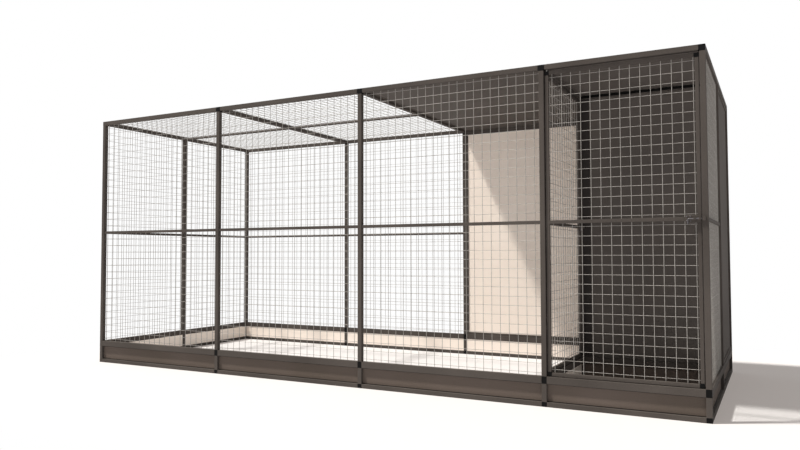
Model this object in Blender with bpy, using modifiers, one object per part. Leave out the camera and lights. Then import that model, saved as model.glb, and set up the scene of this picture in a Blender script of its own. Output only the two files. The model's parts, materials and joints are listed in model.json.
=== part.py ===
"""Outdoor aviary: a square tube frame with wire mesh bays, a roofed corner and a porch with two doors.

Metres, +Z up. The front looks along -Y, the flight is at -X and the porch at +X.
The origin is on the ground, at the middle of the whole outline with its latch.
"""

import math

import bmesh
import bpy
from mathutils import Vector

# Overall plan: three flight bays, one porch bay, two bays deep
FLIGHT_BAYS = 3
BAY = 1.250
PORCH_BAY = 0.880
DEPTH_BAY = 0.900
HEIGHT = 2.000
BASE_HEIGHT = 0.175

# Square tubes
PROFILE = 0.030
PROFILE_WALL = 0.0015
PROFILE_CORNER = 0.0015
SLIM = 0.020
SLIM_WALL = 0.0012
SLIM_CORNER = 0.001
MID_RAIL_HEIGHT = 1.070

# Push-in connectors: a spigot inside each tube end
SPIGOT_LENGTH = 0.025
SPIGOT_CLEARANCE = 0.0003
SPIGOT_SINK = 0.002

# Base wall: rails with a thin panel between them
BASE_RAIL = 0.042
BOTTOM_RAIL = 0.028
BASE_PANEL = 0.008
BASE_OUTER_RECESS = 0.018

# Solid wall and roof panels, each a sheet in a raised edge; the roof and the porch have the thin kind
PANEL_EDGE_DEPTH = 0.020
PANEL_SHEET = 0.008
PANEL_EDGE_WIDTH = 0.012
THIN_PANEL_EDGE_DEPTH = 0.012
THIN_PANEL_SHEET = 0.006
ROOF_PANEL_DROP = 0.001

# Wire mesh: the real mesh has a wire every 55 mm, and every fourth one is modelled here
WIRE = 0.003
REAL_MESH_PITCH = 0.055
WIRES_SKIPPED = 4
WALL_MESH_CLEARANCE = 0.0008
ROOF_MESH_DROP = 0.006

# Fits
SEAT_GAP = 0.0003
OVERRUN = 0.004

# Doors
DOOR_SIDE_GAP = 0.005
DOOR_TOP_GAP = 0.010
DOOR_BOTTOM_GAP = 0.003
DOOR_SETBACK = 0.010
PIN_RADIUS = 0.004
PIN_LENGTH = 0.008
PIN_CLEARANCE = 0.0003
COLLAR_RADIUS = 0.007
PIN_SIDES = 16

# Slide bolt and keeper
CASE_LENGTH = 0.080
CASE_HEIGHT = 0.040
CASE_CLEARANCE = 0.0005
CASE_EDGE = 0.002
ROD_RADIUS = 0.004
ROD_STANDOFF = 0.006
ROD_CLEARANCE = 0.0003
ROD_BEND = 0.008
ROD_BEND_STEPS = 4
ROD_HANDLE = 0.028
BOLT_TIP_REACH = 0.002
LUG_LENGTH = 0.010
LUG_HEIGHT = 0.014
LUG_EDGE = 0.002
LUG_SPACING = 0.026
HANDLE_CLEARANCE = 0.001
KEEPER_LENGTH = 0.014
KEEPER_HEIGHT = 0.024
KEEPER_INSET = 0.003
HOLE_WALL = 0.0022

BORE = PROFILE - 2 * PROFILE_WALL
SPIGOT_WIDTH = BORE - 2 * SPIGOT_CLEARANCE
UP = (0, 0, 1)
DOWN = (0, 0, -1)

# Where the frame's lines lie
WIDTH = FLIGHT_BAYS * BAY + PORCH_BAY + PROFILE
DEPTH = 2 * DEPTH_BAY + PROFILE
LATCH_PROUD = ROD_STANDOFF + ROD_RADIUS + HOLE_WALL
LEFT_LINE = -WIDTH / 2 + PROFILE / 2
POST_LINES = [LEFT_LINE + BAY * bay for bay in range(FLIGHT_BAYS + 1)] + [WIDTH / 2 - PROFILE / 2]
FRONT_FACE = (LATCH_PROUD - DEPTH) / 2
FRONT_LINE = FRONT_FACE + PROFILE / 2
MIDDLE_LINE = FRONT_LINE + DEPTH_BAY
REAR_LINE = MIDDLE_LINE + DEPTH_BAY
PARTITION_LINE = POST_LINES[FLIGHT_BAYS]
RIGHT_LINE = POST_LINES[-1]
TOP_RAIL_UNDERSIDE = HEIGHT - PROFILE
TOP_LINE = HEIGHT - PROFILE / 2
POST_FOOT = BASE_HEIGHT + SEAT_GAP
OPENING_HEIGHT = TOP_RAIL_UNDERSIDE - BASE_HEIGHT
DEPTH_OPENING = DEPTH_BAY - PROFILE
ROOF_OPENING = DEPTH - 2 * PROFILE
ROOF_MESH_LINE = HEIGHT - ROOF_MESH_DROP
SPINE_LINE = ROOF_MESH_LINE - WIRE / 2 - SEAT_GAP - SLIM / 2
ROOF_PANEL_LINE = HEIGHT - ROOF_PANEL_DROP - THIN_PANEL_EDGE_DEPTH / 2
PORCH_RAIL_LINE = HEIGHT - ROOF_PANEL_DROP - THIN_PANEL_EDGE_DEPTH - SEAT_GAP - SLIM / 2

# Door leaves, measured from the pivot along the leaf
PIVOT_INSET = DOOR_SIDE_GAP + SLIM / 2
LEAF_BOTTOM = BASE_HEIGHT + DOOR_BOTTOM_GAP
LEAF_HEIGHT = OPENING_HEIGHT - DOOR_TOP_GAP - DOOR_BOTTOM_GAP
CASE_DEPTH = DOOR_SETBACK - CASE_CLEARANCE
ROD_LINE = SLIM / 2 + DOOR_SETBACK + ROD_STANDOFF
HOLE_RADIUS = ROD_RADIUS + ROD_CLEARANCE
BOLT_THROW = DOOR_SIDE_GAP + KEEPER_INSET + KEEPER_LENGTH - BOLT_TIP_REACH
HANDLE_PLACE = LUG_EDGE + LUG_SPACING + LUG_LENGTH + HANDLE_CLEARANCE + ROD_BEND + BOLT_THROW

# Finishes: colour, roughness, metallic
POWDER_COAT = ("powder_coat", (0.080, 0.068, 0.062), 0.55, 0.0)
GALVANISED = ("galvanised", (0.42, 0.42, 0.41), 0.45, 0.9)
CREAM = ("cream_panel", (0.78, 0.72, 0.62), 0.60, 0.0)
BLACK_PLASTIC = ("black_plastic", (0.012, 0.012, 0.012), 0.45, 0.0)


def clear_scene():
    """Remove every object of the open scene."""
    for old in list(bpy.data.objects):
        bpy.data.objects.remove(old, do_unlink=True)


def new_collection(name):
    """A collection linked to the scene."""
    collection = bpy.data.collections.new(name)
    bpy.context.scene.collection.children.link(collection)
    return collection


def new_material(finish, owner):
    """A Principled material of its own for one piece."""
    label, colour, roughness, metallic = finish
    material = bpy.data.materials.new(owner + "_" + label)
    material.use_nodes = True
    shader = material.node_tree.nodes["Principled BSDF"]
    shader.inputs["Base Color"].default_value = (*colour, 1.0)
    shader.inputs["Roughness"].default_value = roughness
    shader.inputs["Metallic"].default_value = metallic
    return material


class Workshop:
    """Keeps the two collections and makes objects in them."""

    def __init__(self):
        self.parts = new_collection("outdoor_aviary")
        self.tools = new_collection("cutters")

    def part(self, name, mesh, finish, place=(0, 0, 0), turn=0.0):
        """A piece of the aviary, turned about Z."""
        piece = bpy.data.objects.new(name, mesh)
        piece.location = place
        piece.rotation_euler = (0, 0, turn)
        mesh.materials.append(new_material(finish, name))
        self.parts.objects.link(piece)
        return piece

    def tool(self, name, mesh, place=(0, 0, 0), turn=0.0):
        """A solid that only cuts or joins others."""
        tool = bpy.data.objects.new(name, mesh)
        tool.location = place
        tool.rotation_euler = (0, 0, turn)
        tool.hide_render = True
        tool.display_type = "WIRE"
        self.tools.objects.link(tool)
        return tool

    def empty(self, name, place, turn=0.0):
        """A datum that pieces are parented to."""
        datum = bpy.data.objects.new(name, None)
        datum.location = place
        datum.rotation_euler = (0, 0, turn)
        self.tools.objects.link(datum)
        return datum


def combine(piece, tool, operation):
    """Cut or join a piece with a tool solid."""
    modifier = piece.modifiers.new(tool.name, "BOOLEAN")
    modifier.object = tool
    modifier.operation = operation
    modifier.solver = "EXACT"


def mesh_from(name, build):
    """A mesh whose bmesh is filled by a function."""
    bm = bmesh.new()
    build(bm)
    mesh = bpy.data.meshes.new(name)
    bm.to_mesh(mesh)
    bm.free()
    return mesh


def add_box(bm, low, high):
    """Add a box between two corners and return its vertices."""
    low = Vector(low)
    high = Vector(high)
    made = bmesh.ops.create_cube(bm, size=1)
    middle = (low + high) / 2
    span = high - low
    for vert in made["verts"]:
        vert.co = Vector(c * s + m for c, s, m in zip(vert.co, span, middle))
    return made["verts"]


def boxes(name, corners):
    """A mesh of separate boxes."""
    def build(bm):
        for low, high in corners:
            add_box(bm, low, high)
    return mesh_from(name, build)


def long_edges(verts, axis):
    """The edges of a box that run along one axis."""
    chosen = []
    for vert in verts:
        for edge in vert.link_edges:
            span = edge.verts[0].co - edge.verts[1].co
            along = abs(span[axis]) == max(abs(component) for component in span)
            if along and edge not in chosen:
                chosen.append(edge)
    return chosen


def bar(name, low, high, axis, corner):
    """A mesh of one bar with its long edges chamfered."""
    def build(bm):
        verts = add_box(bm, low, high)
        bmesh.ops.bevel(bm, geom=long_edges(verts, axis), offset=corner, segments=1, affect="EDGES")
    return mesh_from(name, build)


def cylinder(name, radius, depth, sides=PIN_SIDES):
    """A mesh of a closed cylinder along Z about its middle."""
    def build(bm):
        bmesh.ops.create_cone(bm, cap_ends=True, segments=sides, radius1=radius, radius2=radius, depth=depth)
    return mesh_from(name, build)


def tube(shop, name, low, high, axis, wall, corner):
    """A hollow square tube, open at both ends: an open sleeve with Solidify."""
    def build(bm):
        verts = add_box(bm, low, high)
        bmesh.ops.bevel(bm, geom=long_edges(verts, axis), offset=corner, segments=1, affect="EDGES")
        ends = [face for face in bm.faces if abs(face.normal[axis]) > max_cross(face.normal, axis)]
        bmesh.ops.delete(bm, geom=ends, context="FACES_ONLY")
    piece = shop.part(name, mesh_from(name, build), POWDER_COAT)
    shell = piece.modifiers.new("wall", "SOLIDIFY")
    shell.thickness = wall
    shell.offset = -1
    shell.use_even_offset = True
    return piece


def max_cross(normal, axis):
    """The largest part of a normal that lies across an axis."""
    return max(abs(value) for index, value in enumerate(normal) if index != axis)


def spigot_box(face_point, direction, width):
    """Corners of a spigot that stands on a face and points along a direction."""
    half = width / 2
    start = Vector(face_point) - Vector(direction) * SPIGOT_SINK
    end = Vector(face_point) + Vector(direction) * SPIGOT_LENGTH
    spread = Vector(half * (1 - abs(value)) for value in direction)
    low = Vector(map(min, start, end)) - spread
    high = Vector(map(max, start, end)) + spread
    return low, high


def add_spigots(shop, piece, places):
    """Join spigots to a piece: each place is a point on a face and a direction, in the piece's own frame."""
    def build(bm):
        for point, direction in places:
            verts = add_box(bm, *spigot_box(point, direction, SPIGOT_WIDTH))
            axis = [abs(value) for value in direction].index(1)
            bmesh.ops.bevel(bm, geom=long_edges(verts, axis), offset=PROFILE_CORNER, segments=1, affect="EDGES")
    tool = shop.tool(piece.name + "_spigots", mesh_from(piece.name + "_spigots", build),
                     piece.location, piece.rotation_euler.z)
    combine(piece, tool, "UNION")


def pocket(low_x, high_x, outer, inner):
    """A pocket in a base wall between its rails, from one face inwards."""
    return ((low_x, min(outer, inner), BOTTOM_RAIL), (high_x, max(outer, inner), BASE_HEIGHT - BASE_RAIL))


def base_wall(shop, name, length, place, turn, stubs, seats):
    """A base wall: bottom rail, deep top rail and stubs with a thin panel set back between them.

    The wall is made along X with its outer face at -Y. The stubs are places along X where a post
    stands or a wall meets it, and the seats are those that hold a post's foot.
    """
    half = PROFILE / 2
    piece = shop.part(name, boxes(name, [((-length / 2, -half, 0), (length / 2, half, BASE_HEIGHT))]),
                      POWDER_COAT, place, turn)
    outer_pockets = []
    inner_pockets = []
    panel_outer = -half + BASE_OUTER_RECESS
    panel_inner = panel_outer + BASE_PANEL
    for left, right in zip(stubs, stubs[1:]):
        low_x = left + half
        high_x = right - half
        outer_pockets.append(pocket(low_x, high_x, -half - OVERRUN, panel_outer))
        inner_pockets.append(pocket(low_x, high_x, panel_inner, half + OVERRUN))
    for label, cuts in (("_outer_pockets", outer_pockets), ("_inner_pockets", inner_pockets)):
        combine(piece, shop.tool(name + label, boxes(name + label, cuts), place, turn), "DIFFERENCE")
    if seats:
        add_spigots(shop, piece, [((seat, 0, BASE_HEIGHT), UP) for seat in seats])
    return piece


def make_base(shop):
    """The six base walls."""
    quarter = math.pi / 2
    inner_depth = DEPTH - 2 * PROFILE - 2 * SEAT_GAP
    base_walls = {}
    base_walls["front"] = base_wall(shop, "front_base", WIDTH, (0, FRONT_LINE, 0), 0, POST_LINES, POST_LINES)
    mirrored = [-line for line in reversed(POST_LINES)]
    base_walls["rear"] = base_wall(shop, "rear_base", WIDTH, (0, REAR_LINE, 0), math.pi, mirrored, mirrored)
    end_stubs = [-DEPTH_BAY, 0, DEPTH_BAY]
    for side, line, turn in (("left", POST_LINES[0], -quarter), ("right", RIGHT_LINE, quarter)):
        base_walls[side] = base_wall(shop, side + "_base", inner_depth, (line, MIDDLE_LINE, 0), turn,
                                     end_stubs, [0])
    low_y = FRONT_LINE + PROFILE / 2 + SEAT_GAP
    high_y = MIDDLE_LINE + PROFILE / 2
    middle = (low_y + high_y) / 2
    base_walls["partition"] = base_wall(shop, "partition_base", high_y - low_y, (PARTITION_LINE, middle, 0),
                                        quarter, [FRONT_LINE - middle, MIDDLE_LINE - middle],
                                        [MIDDLE_LINE - middle])
    middle = (PARTITION_LINE + RIGHT_LINE) / 2
    length = PORCH_BAY - PROFILE - 2 * SEAT_GAP
    base_wall(shop, "porch_rear_base", length, (middle, MIDDLE_LINE, 0), 0,
              [PARTITION_LINE - middle, RIGHT_LINE - middle], [])
    return base_walls


def edge_post(shop, name, x, y, arms):
    """A front or rear post: a tube open at its foot, with a connector at its head and a spigot in each arm."""
    half = PROFILE / 2
    length = HEIGHT - POST_FOOT
    mesh = bar(name, (-half, -half, 0), (half, half, length), 2, PROFILE_CORNER)
    piece = shop.part(name, mesh, POWDER_COAT, (x, y, POST_FOOT))
    bore = BORE / 2
    hollow = boxes(name + "_bore", [((-bore, -bore, -OVERRUN), (bore, bore, length - PROFILE))])
    combine(piece, shop.tool(name + "_bore", hollow, piece.location), "DIFFERENCE")
    head = length - half
    add_spigots(shop, piece, [((arm[0] * half, arm[1] * half, head), (arm[0], arm[1], 0)) for arm in arms])
    return piece


def make_posts(shop):
    """Five front posts, five rear posts and three between them."""
    posts = {}
    last = len(POST_LINES) - 1
    for row, y, inward in (("front", FRONT_LINE, 1), ("rear", REAR_LINE, -1)):
        for index, x in enumerate(POST_LINES):
            arms = [(0, inward)]
            if index > 0:
                arms.append((-1, 0))
            if index < last:
                arms.append((1, 0))
            name = f"{row}_post_{index + 1}"
            posts[name] = edge_post(shop, name, x, y, arms)
    half = PROFILE / 2
    for name, x in (("left_middle_post", POST_LINES[0]), ("right_middle_post", RIGHT_LINE),
                    ("partition_middle_post", PARTITION_LINE)):
        tube(shop, name, (x - half, MIDDLE_LINE - half, POST_FOOT),
             (x + half, MIDDLE_LINE + half, TOP_RAIL_UNDERSIDE - SEAT_GAP), 2, PROFILE_WALL, PROFILE_CORNER)
    return posts


def jointed_rail(shop, name, x):
    """A top rail along Y with a connector in its middle that holds the head of a post."""
    half = PROFILE / 2
    bore = BORE / 2
    reach = DEPTH_BAY - half - SEAT_GAP
    mesh = bar(name, (-half, -reach, -half), (half, reach, half), 1, PROFILE_CORNER)
    piece = shop.part(name, mesh, POWDER_COAT, (x, MIDDLE_LINE, TOP_LINE))
    hollows = boxes(name + "_bore", [((-bore, -reach - OVERRUN, -bore), (bore, -half, bore)),
                                     ((-bore, half, -bore), (bore, reach + OVERRUN, bore))])
    combine(piece, shop.tool(name + "_bore", hollows, piece.location), "DIFFERENCE")
    add_spigots(shop, piece, [((0, 0, -half), DOWN)])
    return piece


def make_top_rails(shop):
    """The rails of the roof: round the outside, across the bay lines and the slim ones between."""
    rails = {}
    half = PROFILE / 2
    for row, y in (("front", FRONT_LINE), ("rear", REAR_LINE)):
        for bay, (left, right) in enumerate(zip(POST_LINES, POST_LINES[1:])):
            name = f"{row}_top_rail_{bay + 1}"
            rails[name] = tube(shop, name, (left + half + SEAT_GAP, y - half, TOP_RAIL_UNDERSIDE),
                               (right - half - SEAT_GAP, y + half, HEIGHT), 0, PROFILE_WALL, PROFILE_CORNER)
    for name, x in (("left_top_rail", POST_LINES[0]), ("cross_rail_3", PARTITION_LINE),
                    ("right_top_rail", RIGHT_LINE)):
        rails[name] = jointed_rail(shop, name, x)
    for index in (1, 2):
        x = POST_LINES[index]
        tube(shop, f"cross_rail_{index}", (x - half, FRONT_LINE + half + SEAT_GAP, TOP_RAIL_UNDERSIDE),
             (x + half, REAR_LINE - half - SEAT_GAP, HEIGHT), 1, PROFILE_WALL, PROFILE_CORNER)
        slim_rail(shop, f"roof_spine_{index}", POST_LINES[index - 1], POST_LINES[index], SPINE_LINE)
    slim_rail(shop, "porch_rear_top_rail", PARTITION_LINE, RIGHT_LINE, PORCH_RAIL_LINE)
    return rails


def slim_rail(shop, name, left, right, z):
    """A slim tube along X on the middle line, between two rails."""
    inset = PROFILE / 2 + SEAT_GAP
    half = SLIM / 2
    return tube(shop, name, (left + inset, MIDDLE_LINE - half, z - half),
                (right - inset, MIDDLE_LINE + half, z + half), 0, SLIM_WALL, SLIM_CORNER)


def mesh_cells(span):
    """How many modelled cells fill a span of mesh."""
    return max(1, round(span / (REAL_MESH_PITCH * WIRES_SKIPPED)))


def lattice(name, width, height):
    """A flat grid of faces in XZ about its middle, whose edges become the wires."""
    columns = mesh_cells(width)
    rows = mesh_cells(height)

    def build(bm):
        bmesh.ops.create_grid(bm, x_segments=columns, y_segments=rows, size=1)
        for vert in bm.verts:
            vert.co = (vert.co.x * width / 2, 0, vert.co.y * height / 2)
    return mesh_from(name, build)


def wire_sheet(shop, name, width, height, clearance, place, turn=0.0):
    """A sheet of welded wire mesh in an opening, as one closed lattice."""
    edge = WIRE + 2 * clearance
    sheet = shop.part(name, lattice(name, width - edge, height - edge), GALVANISED, place, turn)
    wires = sheet.modifiers.new("wires", "WIREFRAME")
    wires.thickness = WIRE
    wires.use_boundary = True
    wires.use_even_offset = True
    wires.use_relative_offset = False
    wires.use_replace = True
    wires.offset = 0
    return sheet


def wall_mesh(shop, name, width, bottom, height, place, turn=0.0):
    """A wall's mesh with the slim mid rail that it is clipped to."""
    x, y = place
    middle = bottom + height / 2
    sheet = wire_sheet(shop, name, width, height, WALL_MESH_CLEARANCE, (x, y, middle), turn)
    half = SLIM / 2
    reach = width / 2 - SEAT_GAP
    rail = bar(name + "_mid_rail", (-reach, -half, -half), (reach, half, half), 0, SLIM_CORNER)
    tool = shop.tool(name + "_mid_rail", rail, (x, y, MID_RAIL_HEIGHT), turn)
    combine(sheet, tool, "UNION")
    return sheet, tool


def make_wall_meshes(shop):
    """The mesh of the front, left, rear and right walls."""
    quarter = math.pi / 2
    for bay in range(FLIGHT_BAYS):
        middle = (POST_LINES[bay] + POST_LINES[bay + 1]) / 2
        wall_mesh(shop, f"front_mesh_{bay + 1}", BAY - PROFILE, BASE_HEIGHT, OPENING_HEIGHT, (middle, FRONT_LINE))
        if bay < FLIGHT_BAYS - 1:
            wall_mesh(shop, f"rear_mesh_{bay + 1}", BAY - PROFILE, BASE_HEIGHT, OPENING_HEIGHT,
                      (middle, REAR_LINE))
    front_half = (FRONT_LINE + MIDDLE_LINE) / 2
    rear_half = (MIDDLE_LINE + REAR_LINE) / 2
    for name, x, y in (("left_mesh_front", POST_LINES[0], front_half), ("left_mesh_rear", POST_LINES[0], rear_half),
                       ("right_mesh", RIGHT_LINE, front_half)):
        wall_mesh(shop, name, DEPTH_OPENING, BASE_HEIGHT, OPENING_HEIGHT, (x, y), quarter)


def make_roof_meshes(shop):
    """The mesh over the first two bays, lying on the roof spines."""
    for bay in (1, 2):
        middle = (POST_LINES[bay - 1] + POST_LINES[bay]) / 2
        sheet = wire_sheet(shop, f"roof_mesh_{bay}", BAY - PROFILE, ROOF_OPENING, SEAT_GAP,
                           (middle, MIDDLE_LINE, ROOF_MESH_LINE))
        sheet.rotation_euler = (math.pi / 2, 0, 0)


def panel(shop, name, width, height, edge_depth, sheet, place, finish, tilt=0.0, turn=0.0):
    """A solid panel: a sheet with a raised edge on both faces, made upright in XZ."""
    half_width = width / 2 - SEAT_GAP
    half_height = height / 2 - SEAT_GAP
    half_depth = edge_depth / 2
    mesh = boxes(name, [((-half_width, -half_depth, -half_height), (half_width, half_depth, half_height))])
    piece = shop.part(name, mesh, finish, place)
    piece.rotation_euler = (tilt, 0, turn)
    inside_width = half_width - PANEL_EDGE_WIDTH
    inside_height = half_height - PANEL_EDGE_WIDTH
    faces = []
    for side in (-1, 1):
        depths = sorted((side * sheet / 2, side * (half_depth + OVERRUN)))
        faces.append(((-inside_width, depths[0], -inside_height), (inside_width, depths[1], inside_height)))
    tool = shop.tool(name + "_faces", boxes(name + "_faces", faces), place)
    tool.rotation_euler = piece.rotation_euler
    combine(piece, tool, "DIFFERENCE")
    return piece


def make_panels(shop):
    """The solid walls round the sheltered corner and the roof over bays 3 and 4."""
    middle_height = (BASE_HEIGHT + TOP_RAIL_UNDERSIDE) / 2
    third_bay = (POST_LINES[2] + POST_LINES[3]) / 2
    porch = (PARTITION_LINE + RIGHT_LINE) / 2
    porch_width = PORCH_BAY - PROFILE
    rear_half = (MIDDLE_LINE + REAR_LINE) / 2
    walls = (("rear_panel_3", BAY - PROFILE, (third_bay, REAR_LINE, middle_height), CREAM, 0.0),
             ("rear_panel_4", porch_width, (porch, REAR_LINE, middle_height), CREAM, 0.0),
             ("right_panel", DEPTH_OPENING, (RIGHT_LINE, rear_half, middle_height), POWDER_COAT, math.pi / 2))
    for name, width, place, finish, turn in walls:
        panel(shop, name, width, OPENING_HEIGHT, PANEL_EDGE_DEPTH, PANEL_SHEET, place, finish, 0.0, turn)
    porch_height = PORCH_RAIL_LINE - SLIM / 2 - BASE_HEIGHT
    behind = MIDDLE_LINE + (PROFILE - THIN_PANEL_EDGE_DEPTH) / 2
    panel(shop, "porch_rear_panel", porch_width, porch_height, THIN_PANEL_EDGE_DEPTH, THIN_PANEL_SHEET,
          (porch, behind, BASE_HEIGHT + porch_height / 2), POWDER_COAT)
    for name, width, x in (("roof_panel_3", BAY - PROFILE, third_bay), ("roof_panel_4", porch_width, porch)):
        panel(shop, name, width, ROOF_OPENING, THIN_PANEL_EDGE_DEPTH, THIN_PANEL_SHEET,
              (x, MIDDLE_LINE, ROOF_PANEL_LINE), POWDER_COAT, math.pi / 2)


def leaf_frame(shop, name, leaf_width, pivot):
    """The leaf's frame with its pivot pins and the bolt's case, measured from the pivot."""
    half = SLIM / 2
    free_edge = leaf_width - half
    mesh = boxes(name, [((-half, -half, 0), (free_edge, half, LEAF_HEIGHT))])
    frame = shop.part(name, mesh, POWDER_COAT)
    frame.parent = pivot
    bolt_height = MID_RAIL_HEIGHT - LEAF_BOTTOM
    opening = [((half, -half - OVERRUN, SLIM), (free_edge - SLIM, half + OVERRUN, LEAF_HEIGHT - SLIM))]
    window = shop.tool(name + "_window", boxes(name + "_window", opening))
    window.parent = pivot
    combine(frame, window, "DIFFERENCE")
    drop = DOOR_BOTTOM_GAP - SEAT_GAP
    collar = shop.tool(name + "_collar", cylinder(name + "_collar", COLLAR_RADIUS, drop + half),
                       (0, 0, (half - drop) / 2))
    low_pin = shop.tool(name + "_low_pin", cylinder(name + "_low_pin", PIN_RADIUS, drop + PIN_LENGTH + half),
                        (0, 0, (half - drop - PIN_LENGTH) / 2))
    reach = DOOR_TOP_GAP + PIN_LENGTH
    top_pin = shop.tool(name + "_top_pin", cylinder(name + "_top_pin", PIN_RADIUS, reach + half),
                        (0, 0, LEAF_HEIGHT + (reach - half) / 2))
    case_low = (free_edge - CASE_LENGTH, -half - CASE_DEPTH, bolt_height - CASE_HEIGHT / 2)
    case_high = (free_edge, -half - SEAT_GAP, bolt_height + CASE_HEIGHT / 2)
    case = shop.tool(name + "_case", boxes(name + "_case", [(case_low, case_high)]))
    boss_low = (free_edge - SLIM + CASE_EDGE, -half - CASE_DEPTH / 2, case_low[2] + CASE_EDGE)
    boss_high = (free_edge - CASE_EDGE, -half + CASE_EDGE, case_high[2] - CASE_EDGE)
    boss = shop.tool(name + "_case_boss", boxes(name + "_case_boss", [(boss_low, boss_high)]))
    lugs = []
    for step in (0, 1):
        high_x = free_edge - LUG_EDGE - step * LUG_SPACING
        lugs.append(((high_x - LUG_LENGTH, -half - DOOR_SETBACK - LATCH_PROUD, bolt_height - LUG_HEIGHT / 2),
                     (high_x, -half - CASE_DEPTH + CASE_EDGE, bolt_height + LUG_HEIGHT / 2)))
    lug_tool = shop.tool(name + "_lugs", boxes(name + "_lugs", lugs))
    for tool in (collar, low_pin, top_pin, boss, case, lug_tool):
        tool.parent = pivot
        combine(frame, tool, "UNION")
    hole = shop.tool(name + "_rod_hole", cylinder(name + "_rod_hole", HOLE_RADIUS, CASE_LENGTH + 2 * OVERRUN),
                     (free_edge - CASE_LENGTH / 2, -ROD_LINE, bolt_height))
    hole.rotation_euler = (0, math.pi / 2, 0)
    hole.parent = pivot
    combine(frame, hole, "DIFFERENCE")
    return frame


def leaf_mesh(shop, name, leaf_width, pivot):
    """The leaf's mesh with its mid rail."""
    width = leaf_width - 2 * SLIM
    sheet, rail = wall_mesh(shop, name, width, SLIM, LEAF_HEIGHT - 2 * SLIM,
                            (leaf_width / 2 - SLIM / 2, 0))
    rail.location.z = MID_RAIL_HEIGHT - LEAF_BOTTOM
    sheet.parent = pivot
    rail.parent = pivot
    return sheet


def slide_bolt(shop, name, free_edge, pivot):
    """The bolt's rod with its end bent down as a handle, drawn back; its origin is on its own axis."""
    handle_x = -HANDLE_PLACE
    points = [(BOLT_TIP_REACH, 0, 0), (handle_x + ROD_BEND, 0, 0)]
    for step in range(1, ROD_BEND_STEPS + 1):
        angle = math.pi / 2 * step / ROD_BEND_STEPS
        points.append((handle_x + ROD_BEND * (1 - math.sin(angle)), 0, ROD_BEND * (math.cos(angle) - 1)))
    points.append((handle_x, 0, -ROD_HANDLE))
    curve = bpy.data.curves.new(name, "CURVE")
    curve.dimensions = "3D"
    curve.bevel_depth = ROD_RADIUS
    curve.bevel_resolution = 2
    curve.use_fill_caps = True
    spline = curve.splines.new("POLY")
    spline.points.add(len(points) - 1)
    for point, place in zip(spline.points, points):
        point.co = (*place, 1)
    rod = bpy.data.objects.new(name, curve)
    curve.materials.append(new_material(GALVANISED, name))
    shop.parts.objects.link(rod)
    rod.location = (free_edge, -ROD_LINE, MID_RAIL_HEIGHT - LEAF_BOTTOM)
    rod.parent = pivot
    return rod


def keeper(shop, name, free_edge, opening):
    """The block on the frame that the bolt shoots into."""
    low_x = free_edge + DOOR_SIDE_GAP + KEEPER_INSET
    bolt_height = MID_RAIL_HEIGHT - LEAF_BOTTOM
    face = SLIM / 2 + DOOR_SETBACK
    corners = [((low_x, -face - LATCH_PROUD, bolt_height - KEEPER_HEIGHT / 2),
                (low_x + KEEPER_LENGTH, -face - SEAT_GAP, bolt_height + KEEPER_HEIGHT / 2))]
    block = shop.part(name, boxes(name, corners), BLACK_PLASTIC)
    block.parent = opening
    hole = shop.tool(name + "_hole", cylinder(name + "_hole", HOLE_RADIUS, KEEPER_LENGTH + 2 * OVERRUN),
                     (low_x + KEEPER_LENGTH / 2, -ROD_LINE, bolt_height))
    hole.rotation_euler = (0, math.pi / 2, 0)
    hole.parent = opening
    combine(block, hole, "DIFFERENCE")
    return block


def pivot_sockets(shop, name, x, y, pieces_above, piece_below):
    """Holes for a leaf's pins, in the base wall under it and in what is over it."""
    radius = PIN_RADIUS + PIN_CLEARANCE
    depth = PIN_LENGTH + PIN_CLEARANCE
    low = shop.tool(name + "_low_socket", cylinder(name + "_low_socket", radius, depth + OVERRUN),
                    (x, y, BASE_HEIGHT + (OVERRUN - depth) / 2))
    high = shop.tool(name + "_high_socket", cylinder(name + "_high_socket", radius, depth + OVERRUN),
                     (x, y, TOP_RAIL_UNDERSIDE + (depth - OVERRUN) / 2))
    combine(piece_below, low, "DIFFERENCE")
    for piece in pieces_above:
        combine(piece, high, "DIFFERENCE")


def make_door(shop, prefix, opening_width, pivot_x, pivot_y, turn):
    """One door: a leaf on two pins, its mesh, its bolt and the keeper on the frame."""
    leaf_width = opening_width - 2 * DOOR_SIDE_GAP
    free_edge = leaf_width - SLIM / 2
    place = (pivot_x, pivot_y, LEAF_BOTTOM)
    pivot = shop.empty(prefix + "_pivot", place, turn)
    opening = shop.empty(prefix + "_opening", place, turn)
    leaf_frame(shop, prefix + "_frame", leaf_width, pivot)
    leaf_mesh(shop, prefix + "_mesh", leaf_width, pivot)
    slide_bolt(shop, prefix + "_bolt", free_edge, pivot)
    keeper(shop, prefix + "_keeper", free_edge, opening)


def make_doors(shop, base_walls, posts, rails):
    """The porch's outer door in the front and its inner door in the partition."""
    half = PROFILE / 2
    corner_post = posts[f"front_post_{FLIGHT_BAYS + 1}"]
    front_x = PARTITION_LINE + half + PIVOT_INSET
    front_y = FRONT_LINE - half + DOOR_SETBACK + SLIM / 2
    make_door(shop, "front_door", PORCH_BAY - PROFILE, front_x, front_y, 0.0)
    pivot_sockets(shop, "front_door", front_x, front_y,
                  [rails[f"front_top_rail_{FLIGHT_BAYS + 1}"], corner_post], base_walls["front"])
    inner_x = PARTITION_LINE + half - DOOR_SETBACK - SLIM / 2
    inner_y = FRONT_LINE + half + PIVOT_INSET
    make_door(shop, "inner_door", DEPTH_OPENING, inner_x, inner_y, math.pi / 2)
    pivot_sockets(shop, "inner_door", inner_x, inner_y, [rails["cross_rail_3"], corner_post],
                  base_walls["partition"])


def main():
    """Build the whole aviary."""
    clear_scene()
    shop = Workshop()
    base_walls = make_base(shop)
    posts = make_posts(shop)
    rails = make_top_rails(shop)
    make_wall_meshes(shop)
    make_roof_meshes(shop)
    make_panels(shop)
    make_doors(shop, base_walls, posts, rails)


main()
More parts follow.
